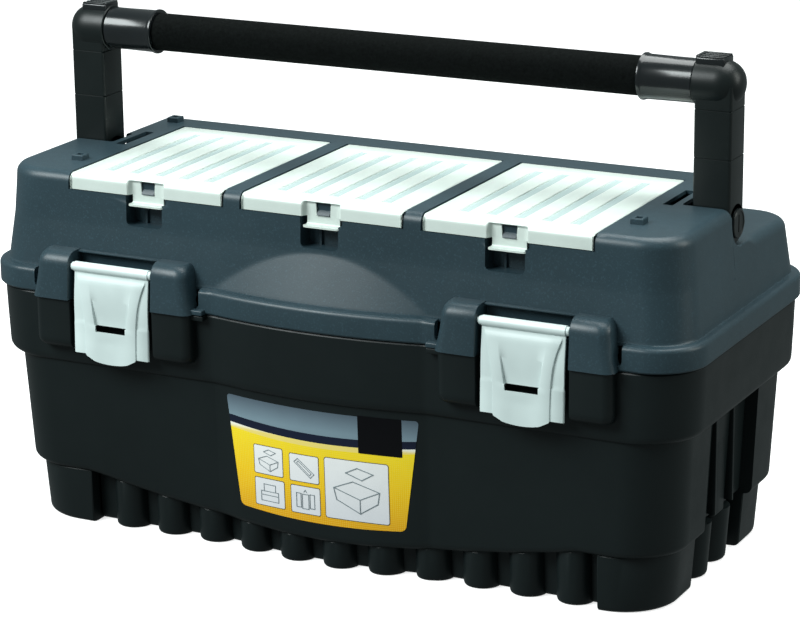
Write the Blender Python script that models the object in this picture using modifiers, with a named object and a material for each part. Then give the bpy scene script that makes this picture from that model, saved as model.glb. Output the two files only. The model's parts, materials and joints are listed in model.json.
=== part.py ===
"""Toolbox with a lift-out tray, three lid organizers, two draw latches and a fold-down tube handle.

Metres. X runs across, Y front to back with the front at -Y, Z up. The origin lies on the floor, under
the centre of the rim.
"""

import math

import bmesh
import bpy
from mathutils import Matrix, Vector

# Whole box
RIM_HALF_X = 0.300
RIM_HALF_Y = 0.134
DECK_Z = 0.288
PARTING_Z = 0.192
WALL = 0.003
CLEARANCE = 0.0003

# Bowed middle of the front, and the arched lower edge of the front panel
BOW_DEPTH = 0.0095
BOW_HALF = 0.090
BULGE_FOOT_Z = 0.2126
BULGE_RISE = 0.036
PANEL_SAG = 0.0215
SAG_HALF = 0.210

# Skirt of half-round columns between the four feet
LOBE_PITCH = 0.0381
LOBE_RADIUS = 0.0138
LOBE_COUNT_FRONT = 11
LOBE_COUNT_END = 2
FOOT_EDGE_X = 0.2125
FOOT_EDGE_Y = 0.0495
FOOT_EDGE_RUN = 0.0015
SKIRT_DEPTH = 0.013
END_RECESS = 0.010
CORNER_RADIUS = 0.042

# Tub levels
SKIRT_TOP_Z = 0.0405
PANEL_BOTTOM_Z = 0.050
PANEL_TOP_Z = 0.1304
BAND_BOTTOM_Z = 0.1395
TRAY_LEDGE_Z = 0.142
FLOOR_THICKNESS = 0.0035
PANEL_BOTTOM_HALF = (0.2827, 0.1235)
PANEL_TOP_HALF = (0.2865, 0.1274)
INNER_LOBE_SCALE = 0.6

# Ribs in the hollows of the tub's ends, catches behind the latches, and the label
END_RIB_X = (0.2736, 0.2832)
END_RIB_Y = 0.018
END_RIB_Z = (0.076, 0.134)
END_RIB_HALF = 0.0015
CATCH_HALF_X = 0.011
CATCH_Y = (-0.1355, -0.1300)
CATCH_Z = (0.1570, 0.1640)
LABEL_Z = (0.042, 0.1285)
LABEL_HALF_X = (0.0715, 0.0835)
LABEL_THICKNESS = 0.0005
LABEL_COLUMNS = 17

# Lid
DECK_SLAB = 0.003
DECK_HALF_X = 0.2535
DECK_BACK_Y = 0.082
LEDGE_Z = 0.2545
LID_WALL_HALF = (0.2930, 0.1262)
LID_WALL_TAPER = (0.0040, 0.0050)
LID_CORNER_RADIUS = 0.040
CAVITY_RADIUS = 0.036
RIM_INNER_HALF = (0.2945, 0.1280)
BULGE_STEPS = 7
NOTCH_STEPS = 8
TRAY_ROOM_Y = -0.1272
TRAY_ROOM_TOP_Z = 0.2093
BEYOND = 0.400

# Organizers in the lid
ORGANIZER_PITCH = 0.153
ORGANIZER_HALF_X = 0.06815
ORGANIZER_BACK_Y = 0.0541
ORGANIZER_FRONT_Y = -0.1204
ORGANIZER_PLATE = 0.0022
FLANGE_BOTTOM_Z = 0.2756
WELL_FLOOR_Z = 0.243
ORGANIZER_AXIS = (0.0524, 0.2866)
ORGANIZER_FRONT_RADIUS = 0.0045
ORGANIZER_PIVOT_RADIUS = 0.0009
ORGANIZER_PIVOT_REACH = 0.0030
CLIP_HALF_X = 0.0165
CLIP_BOTTOM_Z = 0.2650
CLIP_LIP = 0.0022
CLIP_WINDOW_HALF_X = 0.0085
CLIP_WINDOW_Z = (0.2695, 0.2838)
WELL_BLOCK_HALF_X = 0.0695
WELL_BLOCK_Y = (-0.1180, 0.0565)
WELL_HALF_X = 0.0665
WELL_Y = (-0.1140, 0.0535)
WELL_RIB_X = 0.0305
WELL_RIB_HALF = 0.0008
WELL_RIB_TOP_Z = 0.2790
POCKET_HALF_X = 0.0205
POCKET_Y = (-0.1160, -0.1035)
SEAT_GAP = 0.0007
SEAT_Z = 0.2845
FLANGE_SEAT_Y = -0.1172
RECESS_HALF_X = 0.0170
RECESS_BACK_Y = -0.1065
RECESS_Z = (0.2520, 0.2790)
WINDOW_CATCH_HALF_X = 0.0075
WINDOW_CATCH_Y = (-0.1174, -0.1050)
WINDOW_CATCH_Z = (0.2705, 0.2830)

# Stacking lugs and the two slots in the deck
LUG_X = 0.2405
LUG_Y = (-0.078, 0.0684)
LUG_HALF = 0.006
LUG_HEIGHT = 0.0045
LUG_HOLE_HALF = 0.003
SLOT_X = (0.2335, 0.2415)
SLOT_Y = (-0.0210, 0.0260)
SLOT_REACH = 0.020

# Latches and their bosses
LATCH_X = 0.1748
LATCH_AXIS = (-0.1374, 0.2187)
LATCH_HALF_X = 0.0335
LATCH_ROD_RADIUS = 0.004
LATCH_ROD_HALF = 0.0361
BOSS_INNER = 0.0372
BOSS_OUTER = 0.068
BOSS_TOP_Z = 0.2293
BOSS_BOTTOM_Z = 0.1538
BOSS_FRONT_Y = -0.1425
BOSS_BACK_Y = -0.1230
LOWER_BOSS_Y = (-0.1405, -0.1295)
BOSS_SEAM = 0.0002
HOOD_Y = (-0.1345, -0.1228)
HOOD_DEPTH = 0.0042
HOOD_DROP = 0.0006
LATCH_WALL_Y = -0.1300
TRUNNION_RADIUS = 0.002
TRUNNION_REACH = 0.0022
LATCH_FRONT = ((-0.1408, 0.2180), (-0.1432, 0.2080), (-0.1440, 0.1950), (-0.1440, 0.1750), (-0.1432, 0.1508))
LATCH_PLATE = 0.0024
TONGUE_HALF_X = 0.0235
TONGUE_RISE = 0.0016
TONGUE_TIP = ((-0.1446, 0.1440), (-0.1424, 0.1440))
LATCH_SLOT_HALF_X = 0.0138
LATCH_SLOT_Z = (0.1695, 0.1745)

# Lid hinge
HINGE_Y = 0.1395
HINGE_X = 0.170
KNUCKLE_RADIUS = 0.005
TUB_KNUCKLE_HALF = 0.012
LID_KNUCKLE_X = (0.0130, 0.0300)
HINGE_WEB_Y = 0.1300
HINGE_WEB_HEIGHT = 0.0044
HINGE_WEB_GAP = 0.0008
HINGE_PIN_RADIUS = 0.002
HINGE_PIN_HALF = 0.032
HINGE_BORE_HALF = 0.040

# Handle
PIVOT_Z = 0.274
TUBE_Z = 0.3786
ARM_X = (0.2542, 0.2838)
ARM_HALF_Y = 0.0145
ARM_FOOT_RADIUS = 0.0155
HEAD_RADIUS = 0.018
TUBE_RADIUS = 0.0125
GRIP_RADIUS = 0.015
GRIP_HALF = 0.2085
TUBE_HALF = 0.2700
TUBE_WALL = 0.0012
GRIP_EDGE = 0.0008
HEAD_FACE_X = 0.2525
SOCKET_X = 0.2705
NOTCH_GAP = 0.0007
PIVOT_PIN_RADIUS = 0.004
PIVOT_PIN_X = 0.2465
PIVOT_BORE_X = (0.2440, 0.2600)
PIVOT_HEAD_RADIUS = 0.0112
PIVOT_HEAD_HEIGHT = 0.0028
PIVOT_SLOT = (0.0008, 0.0070)
PIVOT_SLOT_DEPTH = 0.0012
CLIP_X = (0.2535, 0.2760)
CLIP_HALF_Y = 0.0105
CLIP_HEIGHT = 0.0040
CLIP_GROOVES = 4
CLIP_GROOVE_HALF = 0.001
CLIP_GROOVE_DEPTH = 0.0012
FERRULE_PROFILE = ((0.0178, 0.0), (0.0178, 0.0012), (0.0168, 0.0040))
FERRULE_END_RADIUS = 0.0164

# Tray
TRAY_HALF = (0.2858, 0.1222)
TRAY_BOTTOM_Z = TRAY_LEDGE_Z + CLEARANCE
TRAY_TOP_Z = 0.187
TRAY_WALL = 0.002
TRAY_DRAFT = (0.004, 0.002)
TRAY_RADIUS = 0.050
TRAY_RIB_HALF = 0.0009
TRAY_RIB_DROP = 0.003
TRAY_FRONT_RIB_X = 0.1425
TRAY_BACK_RIB_X = 0.0475
TROUGH_Y = (-0.012, 0.052)
TROUGH_END_X = (0.0965, 0.1005)
BAIL_CORNER = 0.010
BAIL_FOOT = 0.0060
BAIL_HALF_X = 0.0935
BAIL_REACH = 0.040
BAIL_Z = 0.172
BAIL_RADIUS = 0.0032

SIDES = (("left", -1), ("right", 1))
ORGANIZERS = (("left", -1), ("centre", 0), ("right", 1))


# Scene helpers

def clear_scene():
    for thing in list(bpy.data.objects):
        bpy.data.objects.remove(thing, do_unlink=True)


def new_collection(name, hidden=False):
    collection = bpy.data.collections.new(name)
    bpy.context.scene.collection.children.link(collection)
    collection.hide_render = hidden
    return collection


def new_material(name, colour, roughness, metallic=0.0, alpha=1.0):
    material = bpy.data.materials.new(name)
    material.use_nodes = True
    shader = material.node_tree.nodes["Principled BSDF"]
    shader.inputs["Base Color"].default_value = (*colour, 1.0)
    shader.inputs["Roughness"].default_value = roughness
    shader.inputs["Metallic"].default_value = metallic
    shader.inputs["Alpha"].default_value = alpha
    return material


clear_scene()
PARTS = new_collection("toolbox_with_tray")
CUTTERS = new_collection("cutters", hidden=True)


def add_object(name, shape, collection=PARTS, material=None, origin=(0, 0, 0)):
    """An object from a bmesh in world coordinates, with its origin moved to the given point."""
    bmesh.ops.recalc_face_normals(shape, faces=shape.faces)
    if shape.calc_volume(signed=True) < 0:
        bmesh.ops.reverse_faces(shape, faces=shape.faces)
    shape.transform(Matrix.Translation(-Vector(origin)))
    mesh = bpy.data.meshes.new(name)
    shape.to_mesh(mesh)
    shape.free()
    thing = bpy.data.objects.new(name, mesh)
    thing.location = origin
    collection.objects.link(thing)
    if material:
        mesh.materials.append(material)
        mesh.shade_smooth()
        mesh.set_sharp_from_angle(angle=math.radians(35))
    return thing


def combine(target, shape, operation):
    """A Boolean modifier on target with the given bmesh as its tool."""
    tool = add_object(f"{target.name}_tool", shape, CUTTERS)
    tool.hide_render = True
    tool.display_type = "WIRE"
    modifier = target.modifiers.new(tool.name, "BOOLEAN")
    modifier.operation = operation
    modifier.solver = "EXACT"
    modifier.object = tool
    return tool


def cut(target, shape):
    return combine(target, shape, "DIFFERENCE")


def join(target, shape):
    return combine(target, shape, "UNION")


# Shapes

def box(low, high, bevel=0.0, segments=2, edges=None):
    """A box between two corners. edges keeps the bevel to those along the named axis."""
    shape = bmesh.new()
    bmesh.ops.create_cube(shape, size=1.0)
    low = Vector(low)
    high = Vector(high)
    size = high - low
    shape.transform(Matrix.Translation((low + high) / 2) @ Matrix.Diagonal((*size, 1.0)))
    if bevel:
        chosen = [edge for edge in shape.edges if edges is None or runs_along(edge, edges)]
        bmesh.ops.bevel(shape, geom=chosen, offset=bevel, segments=segments, profile=0.5, affect="EDGES")
    return shape


def runs_along(edge, axis):
    direction = (edge.verts[1].co - edge.verts[0].co).normalized()
    return abs(direction["xyz".index(axis)]) > 0.99


def slab(x, half_x, y, z, **bevel):
    """A box by its middle and half width across, and its reach along Y and Z."""
    return box((x - half_x, y[0], z[0]), (x + half_x, y[1], z[1]), **bevel)


def span(centre, side, reach):
    """Two places along X at distances reach from a centre, on its left or right side, in rising order."""
    return sorted((centre + side * reach[0], centre + side * reach[1]))


def rod(start, end, radius, segments=24):
    """A cylinder between two points."""
    start = Vector(start)
    end = Vector(end)
    shape = bmesh.new()
    bmesh.ops.create_cone(
        shape, cap_ends=True, segments=segments, radius1=radius, radius2=radius, depth=(end - start).length
    )
    turn = Vector((0, 0, 1)).rotation_difference(end - start).to_matrix().to_4x4()
    shape.transform(Matrix.Translation((start + end) / 2) @ turn)
    return shape


def prism(outline, low_x, high_x):
    """An outline of (y, z) points carried along X."""
    shape = bmesh.new()
    corners = [shape.verts.new((low_x, y, z)) for y, z in outline]
    face = shape.faces.new(corners)
    moved = bmesh.ops.extrude_face_region(shape, geom=[face])["geom"]
    new_corners = [item for item in moved if isinstance(item, bmesh.types.BMVert)]
    bmesh.ops.translate(shape, verts=new_corners, vec=(high_x - low_x, 0, 0))
    return shape


def loft(rings):
    """A closed solid through rings that hold the same number of points."""
    shape = bmesh.new()
    loops = [[shape.verts.new(point) for point in ring] for ring in rings]
    count = len(loops[0])
    for lower, upper in zip(loops, loops[1:]):
        for i in range(count):
            j = (i + 1) % count
            shape.faces.new((lower[i], lower[j], upper[j], upper[i]))
    shape.faces.new(loops[0])
    shape.faces.new(loops[-1])
    return shape


def turned(name, profile, parent, height, material):
    """A sleeve about an axis along X, at a height above its parent. The profile is (radius, along) points."""
    shape = bmesh.new()
    points = [shape.verts.new((radius, 0, along)) for radius, along in profile]
    for first, second in zip(points, points[1:] + points[:1]):
        shape.edges.new((first, second))
    mesh = bpy.data.meshes.new(name)
    shape.to_mesh(mesh)
    shape.free()
    thing = bpy.data.objects.new(name, mesh)
    thing.parent = parent
    thing.location = (0, 0, height)
    thing.rotation_euler = (0, math.radians(90), 0)
    PARTS.objects.link(thing)
    mesh.materials.append(material)
    screw = thing.modifiers.new("turn", "SCREW")
    screw.axis = "Z"
    screw.steps = 32
    screw.render_steps = 32
    screw.use_merge_vertices = True
    screw.merge_threshold = 0.00001
    screw.use_smooth_shade = True
    return thing


# Perimeter samples: (side, place along the side or corner angle, column height from 0 to 1)

def lobe_samples(count, foot_edge):
    """Places along one side from foot to foot, with 1 on a foot, 0 in a groove and a half circle on a lobe."""
    samples = [(-foot_edge - FOOT_EDGE_RUN, 1.0), (-foot_edge, 0.0)]
    for index in range(count):
        centre = (index - (count - 1) / 2) * LOBE_PITCH
        for degrees in (-90, -45, 0, 45, 90):
            angle = math.radians(degrees)
            samples.append((centre + LOBE_RADIUS * math.sin(angle), math.cos(angle)))
    samples += [(foot_edge, 0.0), (foot_edge + FOOT_EDGE_RUN, 1.0)]
    return samples


def bow_samples(count):
    return [(BOW_HALF * (2 * i / (count - 1) - 1), 1.0) for i in range(count)]


def perimeter(front, end, back, corner_steps=6):
    """The way round the box, anticlockwise from the front left."""
    sides = (("front", front), ("right", end), ("back", back), ("left", end))
    samples = []
    for turn, (side, places) in enumerate(sides):
        samples += [(side, along, height) for along, height in places]
        first = -90 + 90 * turn
        for step in range(corner_steps + 1):
            samples.append(("corner", math.radians(first + 90 * step / corner_steps), turn))
    return samples


SKIRT_FRONT = lobe_samples(LOBE_COUNT_FRONT, FOOT_EDGE_X)
SKIRT_END = lobe_samples(LOBE_COUNT_END, FOOT_EDGE_Y)
TUB_PERIMETER = perimeter(SKIRT_FRONT, SKIRT_END, SKIRT_FRONT)
LID_PERIMETER = perimeter(bow_samples(21), [], [])
PLAIN_PERIMETER = perimeter([], [], [])


def bow_at(x, z):
    """How far the front stands out of its plane: the bow below, and the arched bulge of the lid above it."""
    across = 1 - (x / BOW_HALF) ** 2
    if across <= 0:
        return 0.0
    if z <= BULGE_FOOT_Z:
        return BOW_DEPTH * across
    arch_z = BULGE_FOOT_Z + BULGE_RISE * across
    return BOW_DEPTH / BULGE_RISE * max(0.0, arch_z - z)


def ring(samples, half_x, half_y, radius, z, skirt=0.0, recess=0.0, lobe_scale=1.0, sag=0.0, bowed=True):
    """One level of the box. skirt is the depth of the grooves, recess that of the ends' hollows."""
    centres = ((1, -1), (1, 1), (-1, 1), (-1, -1))
    points = []
    for side, place, extra in samples:
        if side == "corner":
            sx, sy = centres[extra]
            reach = radius - skirt * (1 - lobe_scale)
            x = sx * (half_x - radius) + reach * math.cos(place)
            y = sy * (half_y - radius) + reach * math.sin(place)
            points.append((x, y, z))
            continue
        inset = skirt * (1 - extra * lobe_scale)
        if side == "front":
            y = -half_y + inset - (bow_at(place, z) if bowed else 0.0)
            points.append((place, y, z - sag * max(0.0, 1 - (place / SAG_HALF) ** 2)))
        elif side == "back":
            points.append((-place, half_y - inset, z))
        else:
            sign = 1 if side == "right" else -1
            hollow = recess if abs(place) <= FOOT_EDGE_Y else 0.0
            points.append((sign * (half_x - inset - hollow), sign * place, z))
    return points


# Tub

def tub_shape():
    """The tub as one surface: up the outside, over the rim and down the inside."""
    wall_radius = CORNER_RADIUS - WALL
    levels = [
        dict(half_x=0.2712, half_y=0.1180, radius=0.040, z=0.0, skirt=SKIRT_DEPTH),
        dict(half_x=0.2727, half_y=0.1195, radius=0.041, z=0.003, skirt=SKIRT_DEPTH),
        dict(half_x=0.2757, half_y=0.1205, radius=0.042, z=SKIRT_TOP_Z, skirt=SKIRT_DEPTH, sag=PANEL_SAG),
        dict(half_x=0.2815, half_y=0.1225, z=0.0465, recess=END_RECESS, sag=PANEL_SAG),
        dict(half_x=PANEL_BOTTOM_HALF[0], half_y=PANEL_BOTTOM_HALF[1], z=PANEL_BOTTOM_Z, recess=END_RECESS,
             sag=PANEL_SAG),
        dict(half_x=PANEL_TOP_HALF[0], half_y=PANEL_TOP_HALF[1], z=PANEL_TOP_Z, recess=END_RECESS),
        dict(half_x=0.2945, half_y=0.1302, z=0.1365),
        dict(half_x=0.2959, half_y=0.1313, z=BAND_BOTTOM_Z + 0.002),
        dict(half_x=0.2976, half_y=0.1324, z=PARTING_Z - CLEARANCE),
        dict(half_x=0.2928, half_y=0.1285, radius=wall_radius, z=PARTING_Z - CLEARANCE),
        dict(half_x=0.2925, half_y=0.1283, radius=wall_radius, z=TRAY_LEDGE_Z),
        dict(half_x=0.2835, half_y=0.1240, radius=wall_radius, z=TRAY_LEDGE_Z, recess=END_RECESS),
        dict(half_x=0.2797, half_y=0.1203, radius=wall_radius, z=0.0545, recess=END_RECESS, sag=PANEL_SAG),
        dict(half_x=0.2720, half_y=0.1170, radius=wall_radius, z=0.0440, skirt=SKIRT_DEPTH,
             lobe_scale=INNER_LOBE_SCALE, sag=PANEL_SAG),
        dict(half_x=0.2690, half_y=0.1160, radius=wall_radius, z=FLOOR_THICKNESS, skirt=SKIRT_DEPTH,
             lobe_scale=INNER_LOBE_SCALE),
    ]
    rings = [ring(TUB_PERIMETER, **{"radius": CORNER_RADIUS, **level}) for level in levels]
    return loft(rings)


def hinge_web(target, x_low, x_high, z_low, z_high):
    """One hinge knuckle on the axis, with the web that carries it."""
    join(target, box((x_low, HINGE_WEB_Y, z_low), (x_high, HINGE_Y, z_high)))
    join(target, rod((x_low, HINGE_Y, PARTING_Z), (x_high, HINGE_Y, PARTING_Z), KNUCKLE_RADIUS, 20))


def hinge_bore(target):
    for _, sign in SIDES:
        x = sign * HINGE_X
        cut(target, rod((x - HINGE_BORE_HALF, HINGE_Y, PARTING_Z), (x + HINGE_BORE_HALF, HINGE_Y, PARTING_Z),
                        HINGE_PIN_RADIUS + CLEARANCE, 16))


def build_tub(material):
    tub = add_object("base_bin", tub_shape(), material=material)
    boss_top = PARTING_Z - CLEARANCE - BOSS_SEAM
    for _, sign in SIDES:
        low_x, high_x = span(0, sign, END_RIB_X)
        for rib_y in (-END_RIB_Y, END_RIB_Y):
            low_y, high_y = rib_y - END_RIB_HALF, rib_y + END_RIB_HALF
            join(tub, box((low_x, low_y, END_RIB_Z[0]), (high_x, high_y, END_RIB_Z[1])))
        centre = sign * LATCH_X
        for _, side in SIDES:
            low_x, high_x = span(centre, side, (BOSS_INNER + 0.0008, BOSS_OUTER - 0.003))
            join(tub, box((low_x, LOWER_BOSS_Y[0], BOSS_BOTTOM_Z), (high_x, LOWER_BOSS_Y[1], boss_top),
                          bevel=0.004, edges="z", segments=3))
        join(tub, slab(centre, CATCH_HALF_X, CATCH_Y, CATCH_Z))
        hinge_web(tub, sign * HINGE_X - TUB_KNUCKLE_HALF, sign * HINGE_X + TUB_KNUCKLE_HALF,
                  PARTING_Z - HINGE_WEB_HEIGHT, PARTING_Z - HINGE_WEB_GAP)
    hinge_bore(tub)
    return tub


def panel_y(x, z):
    """The outer face of the bowed front panel."""
    foot_z = PANEL_BOTTOM_Z - PANEL_SAG * max(0.0, 1 - (x / SAG_HALF) ** 2)
    share = (z - foot_z) / (PANEL_TOP_Z - foot_z)
    flat = PANEL_BOTTOM_HALF[1] + (PANEL_TOP_HALF[1] - PANEL_BOTTOM_HALF[1]) * share
    return -flat - bow_at(x, z)


def build_label(material):
    """A thin sticker on the front panel, wider at its top, that follows the bow."""
    last = LABEL_COLUMNS - 1
    shape = bmesh.new()
    rows = []
    for z, half in zip(LABEL_Z, LABEL_HALF_X):
        places = [half * (2 * i / last - 1) for i in range(LABEL_COLUMNS)]
        rows.append([shape.verts.new((x, panel_y(x, z) - CLEARANCE, z)) for x in places])
    for i in range(last):
        shape.faces.new((rows[0][i], rows[0][i + 1], rows[1][i + 1], rows[1][i]))
    label = add_object("front_label", shape, material=material)
    skin = label.modifiers.new("thickness", "SOLIDIFY")
    skin.thickness = LABEL_THICKNESS
    skin.offset = 1.0
    return label


# Lid

def lid_body():
    """The lid's outer form as a solid, from the rim to the deck."""
    wall_x, wall_y = LID_WALL_HALF
    levels = [(0.2985, 0.1325, PARTING_Z + CLEARANCE), (RIM_HALF_X, RIM_HALF_Y, 0.1945)]
    levels += [(RIM_HALF_X, RIM_HALF_Y, 0.2090), (0.2988, 0.1328, 0.2118)]
    levels += [(wall_x, wall_y, BULGE_FOOT_Z + 0.0002)]
    for step in range(1, BULGE_STEPS + 1):
        share = step / BULGE_STEPS
        z = BULGE_FOOT_Z + BULGE_RISE * share
        levels.append((wall_x - LID_WALL_TAPER[0] * share, wall_y - LID_WALL_TAPER[1] * share, z))
    levels += [(0.2868, 0.1205, 0.2740), (0.2860, 0.1200, 0.2805), (0.2840, 0.1180, 0.2848)]
    levels += [(0.2808, 0.1148, 0.2872), (0.2765, 0.1105, DECK_Z)]
    return loft([ring(LID_PERIMETER, half_x, half_y, LID_CORNER_RADIUS, z) for half_x, half_y, z in levels])


def lid_cavity():
    """The hollow underside: wide inside the rim, so that the tray can rise into it, and narrower above."""
    levels = ((*RIM_INNER_HALF, PARTING_Z - 0.01), (*RIM_INNER_HALF, 0.2090), (0.2890, 0.1222, 0.2122))
    levels += ((0.2830, 0.1165, LEDGE_Z - WALL),)
    return loft([ring(PLAIN_PERIMETER, x, y, CAVITY_RADIUS, z, bowed=False) for x, y, z in levels])


def cut_handle_recess(lid):
    """A ledge behind the deck and notches in the ends, into which the handle folds."""
    radius = ARM_FOOT_RADIUS + NOTCH_GAP
    outline = [(BEYOND, LEDGE_Z), (BEYOND, BEYOND), (-radius, BEYOND)]
    for step in range(NOTCH_STEPS + 1):
        angle = math.radians(180 + 90 * step / NOTCH_STEPS)
        outline.append((radius * math.cos(angle), PIVOT_Z + radius * math.sin(angle)))
    outline.append((0.0, LEDGE_Z))
    cut(lid, box((-BEYOND, DECK_BACK_Y, LEDGE_Z - 0.0001), (BEYOND, BEYOND - 0.1, BEYOND + 0.1)))
    for _, sign in SIDES:
        low_x, high_x = span(0, sign, (DECK_HALF_X, BEYOND + 0.1))
        cut(lid, prism(outline, low_x, high_x))


def add_organizer_wells(lid):
    """Three open wells moulded into the deck, each with two ribs and a catch at its front."""
    half = ORGANIZER_HALF_X + SEAT_GAP
    pivot_half = half + ORGANIZER_PIVOT_REACH
    axis_y, axis_z = ORGANIZER_AXIS
    for _, index in ORGANIZERS:
        x = index * ORGANIZER_PITCH
        join(lid, slab(x, WELL_BLOCK_HALF_X, WELL_BLOCK_Y, (WELL_FLOOR_Z - WALL, DECK_Z - 0.0015)))
        cut(lid, slab(x, WELL_HALF_X, WELL_Y, (WELL_FLOOR_Z, BEYOND), bevel=0.004, edges="z"))
        join(lid, slab(x, POCKET_HALF_X, POCKET_Y, (WELL_FLOOR_Z - 0.0015, DECK_Z - 0.0025)))
        cut(lid, slab(x, half, (-0.15, ORGANIZER_BACK_Y + SEAT_GAP), (SEAT_Z, BEYOND)))
        cut(lid, slab(x, half, (-0.15, FLANGE_SEAT_Y), (FLANGE_BOTTOM_Z - 0.0006, BEYOND - 0.01)))
        cut(lid, slab(x, RECESS_HALF_X, (-0.15, RECESS_BACK_Y), RECESS_Z, bevel=0.004, edges="y", segments=3))
        join(lid, slab(x, WINDOW_CATCH_HALF_X, WINDOW_CATCH_Y, WINDOW_CATCH_Z))
        for rib_x in (x - WELL_RIB_X, x + WELL_RIB_X):
            join(lid, slab(rib_x, WELL_RIB_HALF, (WELL_Y[0] - 0.001, WELL_Y[1] + 0.001),
                           (WELL_FLOOR_Z - 0.001, WELL_RIB_TOP_Z)))
        cut(lid, rod((x - pivot_half, axis_y, axis_z), (x + pivot_half, axis_y, axis_z),
                     ORGANIZER_PIVOT_RADIUS + CLEARANCE, 12))


def add_lid_bosses(lid):
    """The upper halves of the latch bosses, with a hood over each latch, clear of the tray's way up."""
    axis_y, axis_z = LATCH_AXIS
    hood_half = BOSS_INNER + 0.006
    hood_top = BOSS_TOP_Z - HOOD_DROP
    bore_half = BOSS_INNER + TRUNNION_REACH + 0.0008
    boss_low = PARTING_Z + CLEARANCE + BOSS_SEAM
    for _, sign in SIDES:
        centre = sign * LATCH_X
        cut(lid, box((centre - BOSS_INNER - 0.001, -0.2, 0.15),
                     (centre + BOSS_INNER + 0.001, LATCH_WALL_Y, BULGE_FOOT_Z + 0.004)))
        for _, side in SIDES:
            low_x, high_x = span(centre, side, (BOSS_INNER, BOSS_OUTER))
            join(lid, box((low_x, BOSS_FRONT_Y, boss_low), (high_x, BOSS_BACK_Y, BOSS_TOP_Z), bevel=0.005,
                          segments=3, edges="x"))
        join(lid, slab(centre, hood_half, HOOD_Y, (hood_top - HOOD_DEPTH, hood_top)))
        cut(lid, rod((centre - bore_half, axis_y, axis_z), (centre + bore_half, axis_y, axis_z),
                     TRUNNION_RADIUS + CLEARANCE, 16))
    cut(lid, box((-0.26, TRAY_ROOM_Y, PARTING_Z - 0.005), (0.26, TRAY_ROOM_Y + 0.02, TRAY_ROOM_TOP_Z)))


def add_stacking_lugs(lid):
    for _, sign in SIDES:
        x = sign * LUG_X
        for y in LUG_Y:
            join(lid, box((x - LUG_HALF, y - LUG_HALF, DECK_Z - 0.001),
                          (x + LUG_HALF, y + LUG_HALF, DECK_Z + LUG_HEIGHT)))
            cut(lid, box((x - LUG_HOLE_HALF, y - LUG_HOLE_HALF, DECK_Z + 0.0005),
                         (x + LUG_HOLE_HALF, y + LUG_HOLE_HALF, DECK_Z + 0.02)))
        low_x, high_x = span(0, sign, SLOT_X)
        cut(lid, box((low_x, SLOT_Y[0], DECK_Z - SLOT_REACH), (high_x, SLOT_Y[1], DECK_Z + SLOT_REACH)))


def build_lid(material):
    lid = add_object("lid_shell", lid_body(), material=material, origin=(0, HINGE_Y, PARTING_Z))
    cut_handle_recess(lid)
    cut(lid, lid_cavity())
    cut(lid, box((-0.2505, -0.1155, LEDGE_Z - WALL - 0.001), (0.2505, DECK_BACK_Y - WALL, DECK_Z - DECK_SLAB)))
    add_organizer_wells(lid)
    add_lid_bosses(lid)
    add_stacking_lugs(lid)
    for _, sign in SIDES:
        for side in (-1, 1):
            low_x, high_x = span(sign * HINGE_X, side, LID_KNUCKLE_X)
            hinge_web(lid, low_x, high_x, PARTING_Z + HINGE_WEB_GAP, PARTING_Z + HINGE_WEB_HEIGHT)
        low_x, high_x = span(0, sign, PIVOT_BORE_X)
        cut(lid, rod((low_x, 0, PIVOT_Z), (high_x, 0, PIVOT_Z), PIVOT_PIN_RADIUS + CLEARANCE, 24))
    hinge_bore(lid)
    return lid


def build_organizer_lid(name, index, material):
    x = index * ORGANIZER_PITCH
    front = ORGANIZER_FRONT_Y
    under = DECK_Z - ORGANIZER_PLATE
    radius = ORGANIZER_FRONT_RADIUS
    outline = [(ORGANIZER_BACK_Y, under), (ORGANIZER_BACK_Y, DECK_Z)]
    for step in range(5):
        angle = math.radians(90 + 90 * step / 4)
        outline.append((front + radius + radius * math.cos(angle), DECK_Z - radius + radius * math.sin(angle)))
    inner = front + ORGANIZER_PLATE
    outline += [(front, FLANGE_BOTTOM_Z), (inner, FLANGE_BOTTOM_Z)]
    outline += [(inner, under - 0.002), (inner + 0.002, under)]
    axis_y, axis_z = ORGANIZER_AXIS
    plate = prism(outline, x - ORGANIZER_HALF_X, x + ORGANIZER_HALF_X)
    lid = add_object(f"organizer_lid_{name}", plate, material=material, origin=(x, axis_y, axis_z))
    join(lid, slab(x, CLIP_HALF_X, (front, inner), (CLIP_BOTTOM_Z + 0.0015, 0.2800)))
    join(lid, slab(x, CLIP_HALF_X, (front - CLIP_LIP, inner), (CLIP_BOTTOM_Z, CLIP_BOTTOM_Z + CLIP_LIP)))
    cut(lid, slab(x, CLIP_WINDOW_HALF_X, (front - 0.001, inner + 0.001), CLIP_WINDOW_Z))
    for side in (-1, 1):
        start = x + side * (ORGANIZER_HALF_X - 0.002)
        end = x + side * (ORGANIZER_HALF_X + ORGANIZER_PIVOT_REACH)
        join(lid, rod((start, axis_y, axis_z), (end, axis_y, axis_z), ORGANIZER_PIVOT_RADIUS, 12))
    return lid


# Latches

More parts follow.
